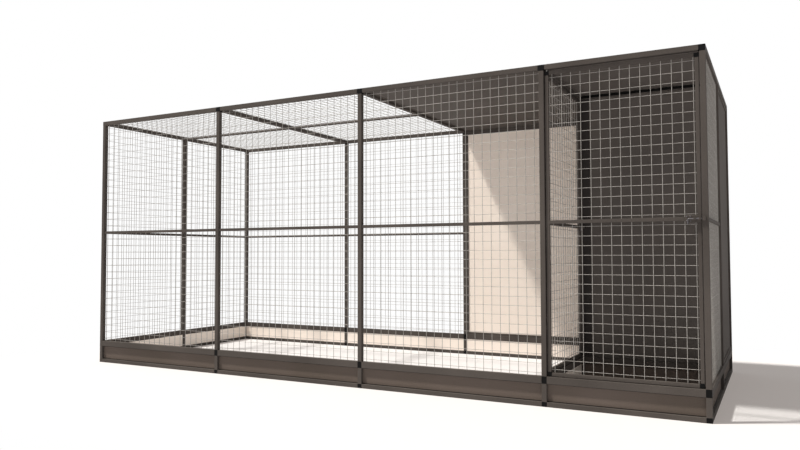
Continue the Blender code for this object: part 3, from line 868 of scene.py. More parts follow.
@dataclass
class WireLattice:
    """Welded wire mesh: upright wires with level wires welded behind them, cut square at the frame."""

    bench: Workbench
    pitch: float = 55 * MM
    diameter: float = 3.2 * MM
    level_diameter: float = 2.4 * MM
    border: float = 8 * MM
    weld_sink: float = 0.6 * MM
    sides: int = 8
    sharp_angle: float = math.radians(60)

    def __post_init__(self) -> None:
        """Build the tree that all sheets share, whose sheet lies in XZ about its middle."""
        sizes = ("Width", "Height", "Pitch", "Upright Diameter", "Level Diameter", "Border", "Offset",
                 "Shift")
        tree, given = new_tree("welded_mesh", {**dict.fromkeys(sizes, "Float"), "Finish": "Material"}, "Mesh")
        joined = add_node(tree, "GeometryNodeJoinGeometry", {0: self.run(tree, given, True)})
        tree.links.new(self.run(tree, given, False), joined.inputs[0])
        end_tree(tree, joined.outputs[0], given["Finish"], "Mesh")
        self.tree = tree

    def run(self, tree: bpy.types.NodeTree, given: Mapping[str, bpy.types.NodeSocket],
            upright: bool) -> bpy.types.NodeSocket:
        """Add the nodes for one direction of wires.

        Args:
            tree: the lattice's tree.
            given: the sockets of its inputs.
            upright: whether the wires stand, or lie level behind them.

        Returns:
            The socket that gives the wires.
        """
        along, across = ("Width", "Height") if upright else ("Height", "Width")
        axis = "X" if upright else "Z"
        thick = given["Upright Diameter" if upright else "Level Diameter"]
        clear = add_node(tree, "ShaderNodeMath", {0: given["Border"], 1: -2.0, 2: given[along]},
                         operation="MULTIPLY_ADD")
        share = add_node(tree, "ShaderNodeMath", {0: clear.outputs[0], 1: given["Pitch"]}, operation="DIVIDE")
        cells = add_node(tree, "ShaderNodeMath", {0: share.outputs[0]}, operation="FLOOR").outputs[0]
        count = add_node(tree, "ShaderNodeMath", {0: cells, 1: 1.0}, operation="ADD")
        reach = add_node(tree, "ShaderNodeMath", {0: cells, 1: given["Pitch"]}, operation="MULTIPLY")
        shift = given["Shift"] if upright else 0.0
        start = add_node(tree, "ShaderNodeMath", {0: reach.outputs[0], 1: -0.5, 2: shift},
                         operation="MULTIPLY_ADD")
        side = add_node(tree, "ShaderNodeMath", {0: given["Offset"], 1: -1.0 if upright else 1.0},
                        operation="MULTIPLY")
        radius = add_node(tree, "ShaderNodeMath", {0: thick, 1: 0.5}, operation="MULTIPLY")
        first = add_node(tree, "ShaderNodeCombineXYZ", {axis: start.outputs[0], "Y": side.outputs[0]})
        step = add_node(tree, "ShaderNodeCombineXYZ", {axis: given["Pitch"]})
        places = add_node(tree, "GeometryNodeMeshLine", {"Count": count.outputs[0],
                                                         "Start Location": first.outputs[0],
                                                         "Offset": step.outputs[0]}, mode="OFFSET")
        wire = add_node(tree, "GeometryNodeMeshCylinder", {"Vertices": self.sides, "Depth": given[across],
                                                           "Radius": radius.outputs[0]})
        turn = (0.0, 0.0 if upright else QUARTER_TURN, 0.0)
        return add_node(tree, "GeometryNodeInstanceOnPoints", {"Points": places.outputs[0], "Rotation": turn,
                                                               "Instance": wire.outputs[0]}).outputs[0]

    def sheet(self, node: str, size: tuple[float, float], matrix: Matrix, body: Body = Body.FRAME,
              shift: float = 0.0) -> None:
        """Make one sheet of mesh.

        Args:
            node: the node that it stands for.
            size: the opening's width and height.
            matrix: where the sheet's middle goes.
            body: the body that it rides on.
            shift: how far the upright wires lie off the middle.
        """
        name = f"{node}_wires"
        thing = new_object(name, bpy.data.meshes.new(name))
        offset = (self.diameter + self.level_diameter) / 4 - self.weld_sink / 2
        set_inputs(thing, self.tree, {"Width": size[0], "Height": size[1], "Pitch": self.pitch,
                                      "Upright Diameter": self.diameter,
                                      "Level Diameter": self.level_diameter, "Border": self.border,
                                      "Offset": offset, "Shift": shift,
                                      "Finish": self.bench.materials[Finish.WIRE]})
        mesh = bake(thing)
        mesh.shade_smooth()
        mesh.set_sharp_from_angle(angle=self.sharp_angle)
        self.bench.piece(name, mesh, Finish.WIRE, body, (node,), matrix)


@dataclass
class TubeFrame:
    """Posts and top rails of square tube, joined by push-in connectors."""

    bench: Workbench
    screws: Fasteners
    plan: Plan
    lip: float = 5 * MM
    screw_inset: float = 14 * MM
    rounding: Rounding = Rounding(1.0 * MM, 3)

    def tube(self, node: str, box: Block, axis: Axis, tube: SquareTube = POST_TUBE) -> None:
        """Dress a post or rail with the tube that fills a box."""
        self.bench.piece(f"{node}_tube", tube.mesh(node, box, axis), Finish.TUBE_COAT, replaced=(node,))

    def posts(self) -> None:
        """Dress all the posts."""
        half = self.plan.half
        foot = self.plan.base_height + self.plan.seam
        top = self.plan.rail_underside - self.lip - self.plan.seam
        for row, y, inward in (("front", self.plan.front, INWARD), ("rear", self.plan.rear, OUTWARD)):
            for number, x in enumerate(self.plan.posts, 1):
                box = block((x - half, y - half, foot), (x + half, y + half, top))
                self.tube(f"{row}_post_{number}", box, Axis.Z)
                for height in (box.low.z + self.screw_inset, box.high.z - self.screw_inset):
                    self.screws.add(Vector((x, y, height)) + inward * half, inward)
        for name in ("left_middle_post", "right_middle_post", "partition_middle_post"):
            self.tube(name, cad_block(name), Axis.Z)

    def rail(self, name: str, box: Block, axis: Axis, tube: SquareTube = POST_TUBE) -> None:
        """Dress a rail with its tube, with a seam at each end.

        Args:
            name: the rail's node.
            box: the corners between its neighbours.
            axis: the axis that it runs along.
            tube: the section.
        """
        trim = Vector()
        trim[axis.value] = self.plan.seam / 2
        self.tube(name, Block(box.low + trim, box.high - trim), axis, tube)

    def rails(self) -> None:
        """Dress all the top rails and the slim rails of the roof."""
        half = self.plan.half
        lips = Vector((self.lip, 0, 0))
        for number in range(1, len(self.plan.posts)):
            for row, facing in (("front", INWARD), ("rear", OUTWARD)):
                name = f"{row}_top_rail_{number}"
                box = cad_block(name)
                self.rail(name, Block(box.low + lips, box.high - lips), Axis.X)
                for x in (box.low.x + self.screw_inset, box.high.x - self.screw_inset):
                    self.screws.add(Vector((x, box.middle.y, box.middle.z)) + facing * half, facing)
        for name in ("cross_rail_1", "cross_rail_2"):
            self.rail(name, cad_block(name), Axis.Y)
        inner, right = self.plan.porch
        for name, x in (("left_top_rail", self.plan.posts[0]), ("cross_rail_3", inner),
                        ("right_top_rail", right)):
            box = block((x - half, self.plan.front + half, self.plan.rail_underside),
                        (x + half, self.plan.rear - half, self.plan.height))
            self.rail(name, box, Axis.Y)
        for name in ("roof_spine_1", "roof_spine_2", "porch_rear_top_rail"):
            self.rail(name, cad_block(name), Axis.X, SLIM_TUBE)

    def connector_outline(self, x: float) -> list[tuple[float, float]]:
        """A connector's outline seen from the front: a lip on the post below and on the rail at each side.

        Args:
            x: the post's place along the front.

        Returns:
            Its corners, as places along the front and heights.
        """
        left, right = x - self.plan.half, x + self.plan.half
        under, top = self.plan.rail_underside, self.plan.height
        outline = [(left, under - self.lip), (right, under - self.lip)]
        if x < self.plan.posts[-1]:
            outline += [(right, under), (right + self.lip, under), (right + self.lip, top)]
        else:
            outline.append((right, top))
        if x > self.plan.posts[0]:
            outline += [(left - self.lip, top), (left - self.lip, under), (left, under)]
        else:
            outline.append((left, top))
        return outline

    def connectors(self) -> None:
        """Make the connectors at the heads of the posts. Those at the left end are coated like the tubes."""
        half = self.plan.half
        for row, y in (("front", self.plan.front), ("rear", self.plan.rear)):
            for number, x in enumerate(self.plan.posts, 1):
                name = f"{row}_connector_{number}"
                mesh = prism(name, self.connector_outline(x), y - half, y + half)
                self.bench.piece(name, mesh, Finish.TUBE_COAT if number == 1 else Finish.NYLON,
                                 rounding=self.rounding)


@dataclass(frozen=True)
class WallLine:
    """A wall seen from outside: its own X runs along it and its outer face looks along its own -Y.

    Its connectors are black beyond black_from and before black_to, and the others are coated like the tubes.
    """

    name: str
    x: float
    y: float
    turn: float
    bays: tuple[tuple[float, float], ...]
    stubs: tuple[float, ...]
    black_from: float = math.inf
    black_to: float = -math.inf
    skins: tuple[Finish, Finish] = (Finish.BASE_COAT, Finish.CREAM_SKIN)

    @property
    def matrix(self) -> Matrix:
        """From the wall's own frame to the world."""
        return placed((self.x, self.y, 0), self.turn)


@dataclass
class BaseWalls:
    """Low walls under the frame: rails and stubs with a sandwich panel set back between them."""

    bench: Workbench
    plan: Plan
    top_rail: float = 42 * MM
    bottom_rail: float = 28 * MM
    recess: float = 18 * MM
    panel: float = 8 * MM
    seal_height: float = 4 * MM
    seal_proud: float = 3 * MM
    seal_rounding: Rounding = Rounding(1.0 * MM)
    connector_rounding: Rounding = Rounding(1.2 * MM, 3)

    @property
    def rail_heights(self) -> tuple[tuple[float, float], ...]:
        """The underside and top of the bottom rail and of the top rail."""
        top = self.plan.base_height
        return (0, self.bottom_rail), (top - self.top_rail, top)

    def lines(self) -> list[WallLine]:
        """Lay out the six base walls.

        Returns:
            The walls.
        """
        plan = self.plan
        half = plan.half
        posts = plan.posts
        bays = tuple((left + half, right - half) for left, right in zip(posts, posts[1:]))
        mirrored = tuple((-high, -low) for low, high in reversed(bays))
        run = plan.middle - plan.front - half
        ends = ((-run, -half), (half, run))
        inner, right = plan.porch
        porch_half = (right - inner) / 2 - half
        return [WallLine("front_base", 0, plan.front, 0, bays, posts, black_from=posts[1] - half),
                WallLine("rear_base", 0, plan.rear, math.pi, mirrored, tuple(-x for x in posts),
                         black_to=-posts[1] + half),
                WallLine("left_base", posts[0], plan.middle, -QUARTER_TURN, ends, (0,)),
                WallLine("right_base", right, plan.middle, QUARTER_TURN, ends, (0,)),
                WallLine("partition_base", inner, plan.middle, QUARTER_TURN, ends[:1], (0,),
                         skins=(Finish.CREAM_SKIN, Finish.BASE_COAT)),
                WallLine("porch_rear_base", (inner + right) / 2, plan.middle, 0,
                         ((-porch_half, porch_half),), ())]

    def rails(self, line: WallLine) -> None:
        """Make a wall's rails and stubs, which stand for its node.

        Args:
            line: the wall.
        """
        half = self.plan.half
        seam = self.plan.seam
        bm = bmesh.new()
        for low, high in line.bays:
            for bottom, height in self.rail_heights:
                box = block((low + seam, -half, bottom), (high - seam, half, height))
                bm.from_mesh(POST_TUBE.mesh("rail", box, Axis.X))
        foot, head = self.bottom_rail + seam, self.plan.base_height - self.top_rail - seam
        for stub in line.stubs:
            box = block((stub - half, -half, foot), (stub + half, half, head))
            bm.from_mesh(POST_TUBE.mesh("stub", box, Axis.Z))
        self.bench.piece(f"{line.name}_rails", to_mesh(line.name, bm), Finish.TUBE_COAT,
                         replaced=(line.name,), matrix=line.matrix)

    def connectors(self, line: WallLine) -> None:
        """Make the connectors above and below a wall's stubs, black or coated like the tubes.

        Args:
            line: the wall.
        """
        half = self.plan.half
        boxes = {Finish.NYLON: [], Finish.TUBE_COAT: []}
        for stub in line.stubs:
            black = line.black_from < stub or stub < line.black_to
            boxes[Finish.NYLON if black else Finish.TUBE_COAT] += [
                block((stub - half, -half, bottom), (stub + half, half, height))
                for bottom, height in self.rail_heights]
        for finish, some in boxes.items():
            if some:
                label = "connectors" if finish is Finish.NYLON else "coated_connectors"
                name = f"{line.name}_{label}"
                self.bench.piece(name, box_mesh(name, some), finish, matrix=line.matrix,
                                 rounding=self.connector_rounding)

    def panels(self, line: WallLine) -> None:
        """Make a wall's panel as an outer and an inner skin, with a rubber gasket above and below it.

        Args:
            line: the wall.
        """
        outer = -self.plan.half + self.recess
        middle = outer + self.panel / 2
        low_z = self.bottom_rail
        high_z = self.plan.base_height - self.top_rail
        for label, near, far, finish in (("outer_skin", outer, middle, line.skins[0]),
                                         ("inner_skin", middle, outer + self.panel, line.skins[1])):
            name = f"{line.name}_{label}"
            boxes = [block((low, near, low_z), (high, far, high_z)) for low, high in line.bays]
            self.bench.piece(name, box_mesh(name, boxes), finish, matrix=line.matrix)
        seals = [block((low, outer - self.seal_proud, bottom), (high, outer, bottom + self.seal_height))
                 for low, high in line.bays for bottom in (low_z, high_z - self.seal_height)]
        name = f"{line.name}_seals"
        self.bench.piece(name, box_mesh(name, seals), Finish.SEAL, matrix=line.matrix,
                         rounding=self.seal_rounding)

    def build(self) -> None:
        """Make the six base walls."""
        for line in self.lines():
            self.rails(line)
            self.connectors(line)
            self.panels(line)


@dataclass
class MeshWalls:
    """Wire mesh in the wall and roof bays, with a slim rail across each wall mesh at half height."""

    bench: Workbench
    lattice: WireLattice
    plan: Plan
    mid_rail: float = 1.070

    def wall(self, node: str, turn: float, body: Body = Body.FRAME, shift: float = 0.0) -> None:
        """Dress a wall's mesh and its mid rail.

        Args:
            node: the mesh's node.
            turn: the wall's turn about Z, at which its outside looks along its own -Y.
            body: the body that it rides on.
            shift: how far the upright wires lie off the middle.
        """
        box = cad_block(node)
        axis = Axis.X if box.span.x > box.span.y else Axis.Y
        width = box.span[axis.value]
        self.lattice.sheet(node, (width, box.span.z), placed(box.middle, turn), body, shift)
        half = Vector([self.plan.slim / 2] * 3)
        half[axis.value] = width / 2
        centre = Vector((box.middle.x, box.middle.y, self.mid_rail))
        rail = SLIM_TUBE.mesh(node, Block(centre - half, centre + half), axis)
        self.bench.piece(f"{node}_mid_rail", rail, Finish.TUBE_COAT, body)

    def roof(self, node: str) -> None:
        """Dress a roof bay's mesh."""
        box = cad_block(node)
        self.lattice.sheet(node, (box.span.x, box.span.y), placed(box.middle, -QUARTER_TURN, "X"))

    def build(self) -> None:
        """Dress every fixed mesh."""
        for number in (1, 2, 3):
            self.wall(f"front_mesh_{number}", 0)
        for number in (1, 2):
            self.wall(f"rear_mesh_{number}", math.pi)
            self.roof(f"roof_mesh_{number}")
        for node in ("left_mesh_front", "left_mesh_rear"):
            self.wall(node, -QUARTER_TURN)
        self.wall("right_mesh", QUARTER_TURN)


@dataclass(frozen=True)
class PanelKind:
    """How far a panel's skins lie behind its raised edge, and how wide the edge is."""

    set_back: float
    edge: float


@dataclass
class SolidPanels:
    """Sandwich panels with a raised edge: the solid walls round the sheltered corner and the roof over it."""

    bench: Workbench
    screws: Fasteners
    thick: PanelKind = PanelKind(6 * MM, 20 * MM)
    thin: PanelKind = PanelKind(3 * MM, 12 * MM)
    screw_inset: float = 10.8 * MM
    screw_pitch: float = 0.30
    rounding: Rounding = Rounding(1.0 * MM)
    # Black rubber along the porch's top rail, standing for the dark gap under the roof: painted shade.
    shade_seal_width: float = 16 * MM
    seal_proud: float = 3 * MM
    # The dark band up the porch wall by the partition is painted shade, for the shade in that corner.
    shade_strip_width: float = 52 * MM
    shade_strip_thickness: float = 0.6 * MM
    shade_strip_rounding: Rounding = Rounding(0.2 * MM)

    def half_panel(self, size: tuple[float, float, float], near: float,
                   kind: PanelKind) -> tuple[list[Block], Block]:
        """One half of a panel's depth, upright in its own XZ.

        Args:
            size: the panel's width, depth and height.
            near: the Y of the half's own face.
            kind: the panel's kind.

        Returns:
            The boxes of its raised edge, and the box of its skin.
        """
        x, z = size[0] / 2, size[2] / 2
        inner_x, inner_z = x - kind.edge, z - kind.edge
        low, high = sorted((near, 0))
        edge = [block((-x, low, -z), (-inner_x, high, z)), block((inner_x, low, -z), (x, high, z)),
                block((-inner_x, low, -z), (inner_x, high, -inner_z)),
                block((-inner_x, low, inner_z), (inner_x, high, z))]
        low, high = sorted((near - math.copysign(kind.set_back, near), 0))
        return edge, block((-inner_x, low, -inner_z), (inner_x, high, inner_z))

    def panel(self, node: str, size: tuple[float, float, float], kind: PanelKind, matrix: Matrix,
              finishes: tuple[Finish, Finish, Finish]) -> None:
        """Dress a panel with an outer and an inner face, and set screws round its outer edge.

        Args:
            node: the panel's node.
            size: its width, depth and height in its own frame.
            kind: the panel's kind.
            matrix: from the panel's own frame to the world; its outside looks along its own -Y.
            finishes: those of the outer face, the inner edge and the inner face.
        """
        width, depth, height = size
        edge, skin = self.half_panel(size, -depth / 2, kind)
        inner_edge, inner_skin = self.half_panel(size, depth / 2, kind)
        parts = (("outer_face", [*edge, skin], (node,)), ("inner_edge", inner_edge, ()),
                 ("inner_face", [inner_skin], ()))
        for (label, boxes, replaced), finish in zip(parts, finishes):
            name = f"{node}_{label}"
            self.bench.piece(name, box_mesh(name, boxes), finish, replaced=replaced, matrix=matrix,
                             rounding=self.rounding)
        x = width / 2 - kind.edge - self.screw_inset
        z = height / 2 - kind.edge - self.screw_inset
        face = -depth / 2 + kind.set_back
        facing = matrix.to_3x3() @ OUTWARD
        columns = round(width / self.screw_pitch)
        rows = round(height / self.screw_pitch)
        places = [(-x + 2 * x * step / columns, up) for step in range(columns + 1) for up in (-z, z)]
        places += [(across, -z + 2 * z * step / rows) for step in range(1, rows) for across in (-x, x)]
        for across, up in places:
            self.screws.add(matrix @ Vector((across, face, up)), facing)

    def wall(self, node: str, turn: float, kind: PanelKind, outside: Finish) -> None:
        """Dress a wall panel, which is cream in a coated edge on its inner side.

        Args:
            node: the panel's node.
            turn: the wall's turn about Z, at which its outside looks along its own -Y.
            kind: the panel's kind.
            outside: the finish of its outer face.
        """
        box = cad_block(node)
        width, depth = sorted((box.span.x, box.span.y), reverse=True)
        self.panel(node, (width, depth, box.span.z), kind, placed(box.middle, turn),
                   (outside, Finish.TUBE_COAT, Finish.CREAM_SKIN))

    def roof(self, node: str) -> None:
        """Dress a roof panel.

        Args:
            node: the panel's node.
        """
        box = cad_block(node)
        matrix = placed(box.middle, -QUARTER_TURN, "X")
        self.panel(node, (box.span.x, box.span.z, box.span.y), self.thin, matrix,
                   (Finish.PANEL_COAT, Finish.THIN_PANEL_COAT, Finish.THIN_PANEL_COAT))

    def porch_painted_shade(self) -> None:
        """Make the porch's painted shade: black rubber along its top rail, a dark band by the partition."""
        rail = cad_block("porch_rear_top_rail")
        wall = cad_block("porch_rear_panel")
        # Painted shade: black rubber on the porch's top rail, for the dark gap under the roof.
        shade_seal_band = block((rail.low.x, rail.low.y - self.seal_proud, rail.high.z - self.shade_seal_width),
                     (rail.high.x, rail.low.y, rail.high.z))
        # Painted shade: a dark band up the porch wall beside the partition post.
        shade_band = block((wall.low.x, wall.low.y - self.shade_strip_thickness, wall.low.z),
                      (wall.low.x + self.shade_strip_width, wall.low.y, wall.high.z))
        for name, box, finish in (("porch_rear_seal", shade_seal_band, Finish.SEAL),
                                  ("porch_rear_strip", shade_band, Finish.STRIP)):
            self.bench.piece(name, box_mesh(name, [box]), finish, rounding=self.shade_strip_rounding)

    def build(self) -> None:
        """Dress the wall and roof panels."""
        for node, turn in (("rear_panel_3", math.pi), ("rear_panel_4", math.pi),
                           ("right_panel", QUARTER_TURN)):
            self.wall(node, turn, self.thick, Finish.PANEL_COAT)
        self.wall("porch_rear_panel", 0, self.thin, Finish.THIN_PANEL_COAT)
        self.porch_painted_shade()
        for node in ("roof_panel_3", "roof_panel_4"):
            self.roof(node)


@dataclass
class Door:
    """A door leaf on two pins with a slide bolt, made in its own frame.

    Its X runs from the pivot along the leaf, its outside looks along -Y, and Z starts at the leaf's foot.
    """

    screws: Fasteners
    meshes: MeshWalls
    plan: Plan
    prefix: str
    leaf_body: Body
    bolt_body: Body
    pivot: Vector
    turn: float
    top_gap: float = 10 * MM
    mesh_shift: float = 6 * MM
    connector: float = 25 * MM
    case_length: float = 80 * MM
    case_height: float = 40 * MM
    case_depth: float = 9.5 * MM
    case_rounding: Rounding = Rounding(2.0 * MM, 3)
    connector_rounding: Rounding = Rounding(1.0 * MM, 3)
    small_rounding: Rounding = Rounding(0.8 * MM)
    screw_insets: tuple[float, float] = (8 * MM, 25.6 * MM)
    lug_length: float = 10 * MM
    lug_height: float = 14 * MM
    lug_spacing: float = 26 * MM
    lug_edge: float = 2 * MM
    rod_radius: float = 4 * MM
    rod_steps: int = 8
    rod_bend: float = 8 * MM
    rod_resolution: int = 6
    weld_distance: float = 0.01 * MM
    hole_radius: float = 4.4 * MM
    hole_sides: int = 32
    pin_radius: float = 4 * MM
    pin_chamfer: float = 1 * MM
    pin_sides: int = 24
    bush_radius: float = 7 * MM
    bush_chamfer: float = 0.5 * MM
    bush_gap_shares: tuple[float, float, float] = (0.9, 0.7, 0.2)

    @property
    def matrix(self) -> Matrix:
        """From the leaf's own frame to the world."""
        return placed(self.pivot, self.turn)

    def own_block(self, node: str) -> Block:
        """The box of one of the door's nodes in the leaf's own frame.

        Args:
            node: the node's name after the door's prefix.

        Returns:
            The box.
        """
        box = cad_block(f"{self.prefix}_{node}")
        inverse = self.matrix.inverted()
        ends = [inverse @ box.low, inverse @ box.high]
        return Block(Vector(map(min, *ends)), Vector(map(max, *ends)))

    def piece(self, label: str, mesh: bpy.types.Mesh, finish: Finish, body: Body | None = None,
              node: str | None = None, rounding: Rounding | None = None) -> None:
        """Make a piece of the door from a mesh in the leaf's own frame.

        Args:
            label: the piece's name after the door's prefix.
            mesh: its mesh.
            finish: its finish.
            body: the body that it rides on, if that isn't the leaf.
            node: the node that it stands for, if any, after the door's prefix.
            rounding: the rounding of its edges.
        """
        replaced = (f"{self.prefix}_{node}",) if node else ()
        self.meshes.bench.piece(f"{self.prefix}_{label}", mesh, finish, body or self.leaf_body, replaced,
                                self.matrix, rounding)

    def leaf(self, width: float, height: float) -> None:
        """Make the leaf's tubes and its corner connectors.

        Args:
            width: the leaf's width.
            height: the leaf's height.
        """
        slim = self.plan.slim
        half = slim / 2
        free = width - half
        reach = self.connector
        bm = bmesh.new()
        for low, high in ((-half, half), (free - slim, free)):
            box = block((low, -half, reach), (high, half, height - reach))
            bm.from_mesh(SLIM_TUBE.mesh("stile", box, Axis.Z))
        for bottom in (0, height - slim):
            box = block((reach - half, -half, bottom), (free - reach, half, bottom + slim))
            bm.from_mesh(SLIM_TUBE.mesh("rail", box, Axis.X))
        self.piece("leaf", to_mesh(self.prefix, bm), Finish.TUBE_COAT, node="frame")
        elbow = ((0, 0), (reach, 0), (reach, slim), (slim, slim), (slim, reach), (0, reach))
        bm = bmesh.new()
        for x, side in ((-half, 1), (free, -1)):
            for z, up in ((0, 1), (height, -1)):
                outline = [(x + side * across, z + up * above) for across, above in elbow]
                bm.from_mesh(prism("elbow", outline if side == up else outline[::-1], -half, half))
        self.piece("connectors", to_mesh("connectors", bm), Finish.NYLON, rounding=self.connector_rounding)

    def pins(self, height: float) -> None:
        """Make the pivot pins and the bush under the leaf.

        Args:
            height: the leaf's height.
        """
        own = self.own_block("frame")
        wide = self.pin_radius
        slim = wide - self.pin_chamfer
        low = [(slim, own.low.z), (wide, own.low.z + self.pin_chamfer), (wide, 0)]
        high = [(wide, height), (wide, own.high.z - self.pin_chamfer), (slim, own.high.z)]
        for label, profile in (("foot_pin", low), ("head_pin", high)):
            self.piece(label, lathe(label, profile, self.pin_sides), Finish.ZINC)
        gap = self.plan.base_height - self.pivot.z
        wide = self.bush_radius
        rim = wide - self.bush_chamfer
        radii = (rim, wide, wide)
        profile = [(radius, gap * share) for radius, share in zip(radii, self.bush_gap_shares)] + [(rim, 0)]
        self.piece("bush", lathe("bush", profile, self.pin_sides), Finish.NYLON)

    def bolt_line(self) -> tuple[float, float]:
        """The Y and Z of the bolt's axis in the leaf's own frame."""
        own = self.own_block("bolt")
        return own.middle.y, own.high.z - self.rod_radius

    def hole(self, low_x: float, high_x: float) -> bpy.types.Mesh:
        """The tool that cuts the bolt's hole.

        Args:
            low_x: where the hole starts.
            high_x: where it ends.

        Returns:
            The tool's mesh.
        """
        y, z = self.bolt_line()
        tool = lathe("rod_hole", [(self.hole_radius, low_x), (self.hole_radius, high_x)], self.hole_sides)
        tool.transform(placed((0, y, z), QUARTER_TURN, "Y"))
        return tool

    def latch(self, width: float) -> None:
        """Make the bolt's case with its lugs and screws.

        Args:
            width: the leaf's width.
        """
        _, z = self.bolt_line()
        face = -self.plan.slim / 2
        free = width - self.plan.slim / 2
        reach = self.own_block("frame").low.y
        case = block((free - self.case_length, face - self.case_depth, z - self.case_height / 2),
                     (free, face, z + self.case_height / 2))
        self.piece("latch_case", box_mesh("case", [case]), Finish.TUBE_COAT, rounding=self.case_rounding)
        lugs = [block((far - self.lug_length, reach, z - self.lug_height / 2),
                      (far, face - self.case_depth + self.lug_edge, z + self.lug_height / 2))
                for far in (free - self.lug_edge, free - self.lug_edge - self.lug_spacing)]
        mesh = cut(box_mesh("lugs", lugs), self.hole(case.low.x, case.high.x))
        self.piece("latch_lugs", mesh, Finish.TUBE_COAT, rounding=self.small_rounding)
        facing = self.matrix.to_3x3() @ OUTWARD
        inset = self.screw_insets[0]
        for across in self.screw_insets:
            for height in (case.low.z + inset, case.high.z - inset):
                place = self.matrix @ Vector((case.low.x + across, case.low.y, height))
                self.screws.add(place, facing, self.leaf_body)

    def bolt(self) -> None:
        """Make the bolt: a rod with its end bent down as a handle and a rounded tip."""
        own = self.own_block("bolt")
        y, z = self.bolt_line()
        handle_x = own.low.x + self.rod_radius
        points = [(own.high.x, y, z), (handle_x + self.rod_bend, y, z)]
        for step in range(1, self.rod_steps + 1):
            angle = QUARTER_TURN * step / self.rod_steps
            points.append((handle_x + self.rod_bend * (1 - math.sin(angle)), y,
                           z - self.rod_bend * (1 - math.cos(angle))))
        points.append((handle_x, y, own.low.z))
        curve = bpy.data.curves.new("bolt", "CURVE")
        curve.dimensions = "3D"
        curve.bevel_depth = self.rod_radius
        curve.bevel_resolution = self.rod_resolution
        curve.use_fill_caps = True
        spline = curve.splines.new("POLY")
        spline.points.add(len(points) - 1)
        for point, place in zip(spline.points, points):
            point.co = (*place, 1)
        bm = bmesh.new()
        bm.from_mesh(bake(new_object("bolt", curve)))
        bmesh.ops.remove_doubles(bm, verts=bm.verts, dist=self.weld_distance)
        bmesh.ops.recalc_face_normals(bm, faces=bm.faces)
        self.piece("bolt_rod", to_mesh("bolt", bm), Finish.BLACK_ZINC, self.bolt_body, "bolt",
                   self.small_rounding)

    def keeper(self) -> None:
        """Make the keeper that the bolt shoots into, on the frame."""
        own = self.own_block("keeper")
        hole = self.hole(own.low.x - self.plan.slim, own.high.x + self.plan.slim)
        mesh = cut(box_mesh("keeper", [own]), hole)
        self.piece("keeper_block", mesh, Finish.TUBE_COAT, Body.FRAME, "keeper", self.small_rounding)

    def build(self) -> None:
        """Make the whole door."""
        frame = cad_block(f"{self.prefix}_frame")
        width = max(frame.span.x, frame.span.y)
        height = self.plan.rail_underside - self.top_gap - self.pivot.z
        self.leaf(width, height)
        self.meshes.wall(f"{self.prefix}_mesh", self.turn, self.leaf_body, self.mesh_shift)
        self.pins(height)
        self.latch(width)
        self.bolt()
        self.keeper()


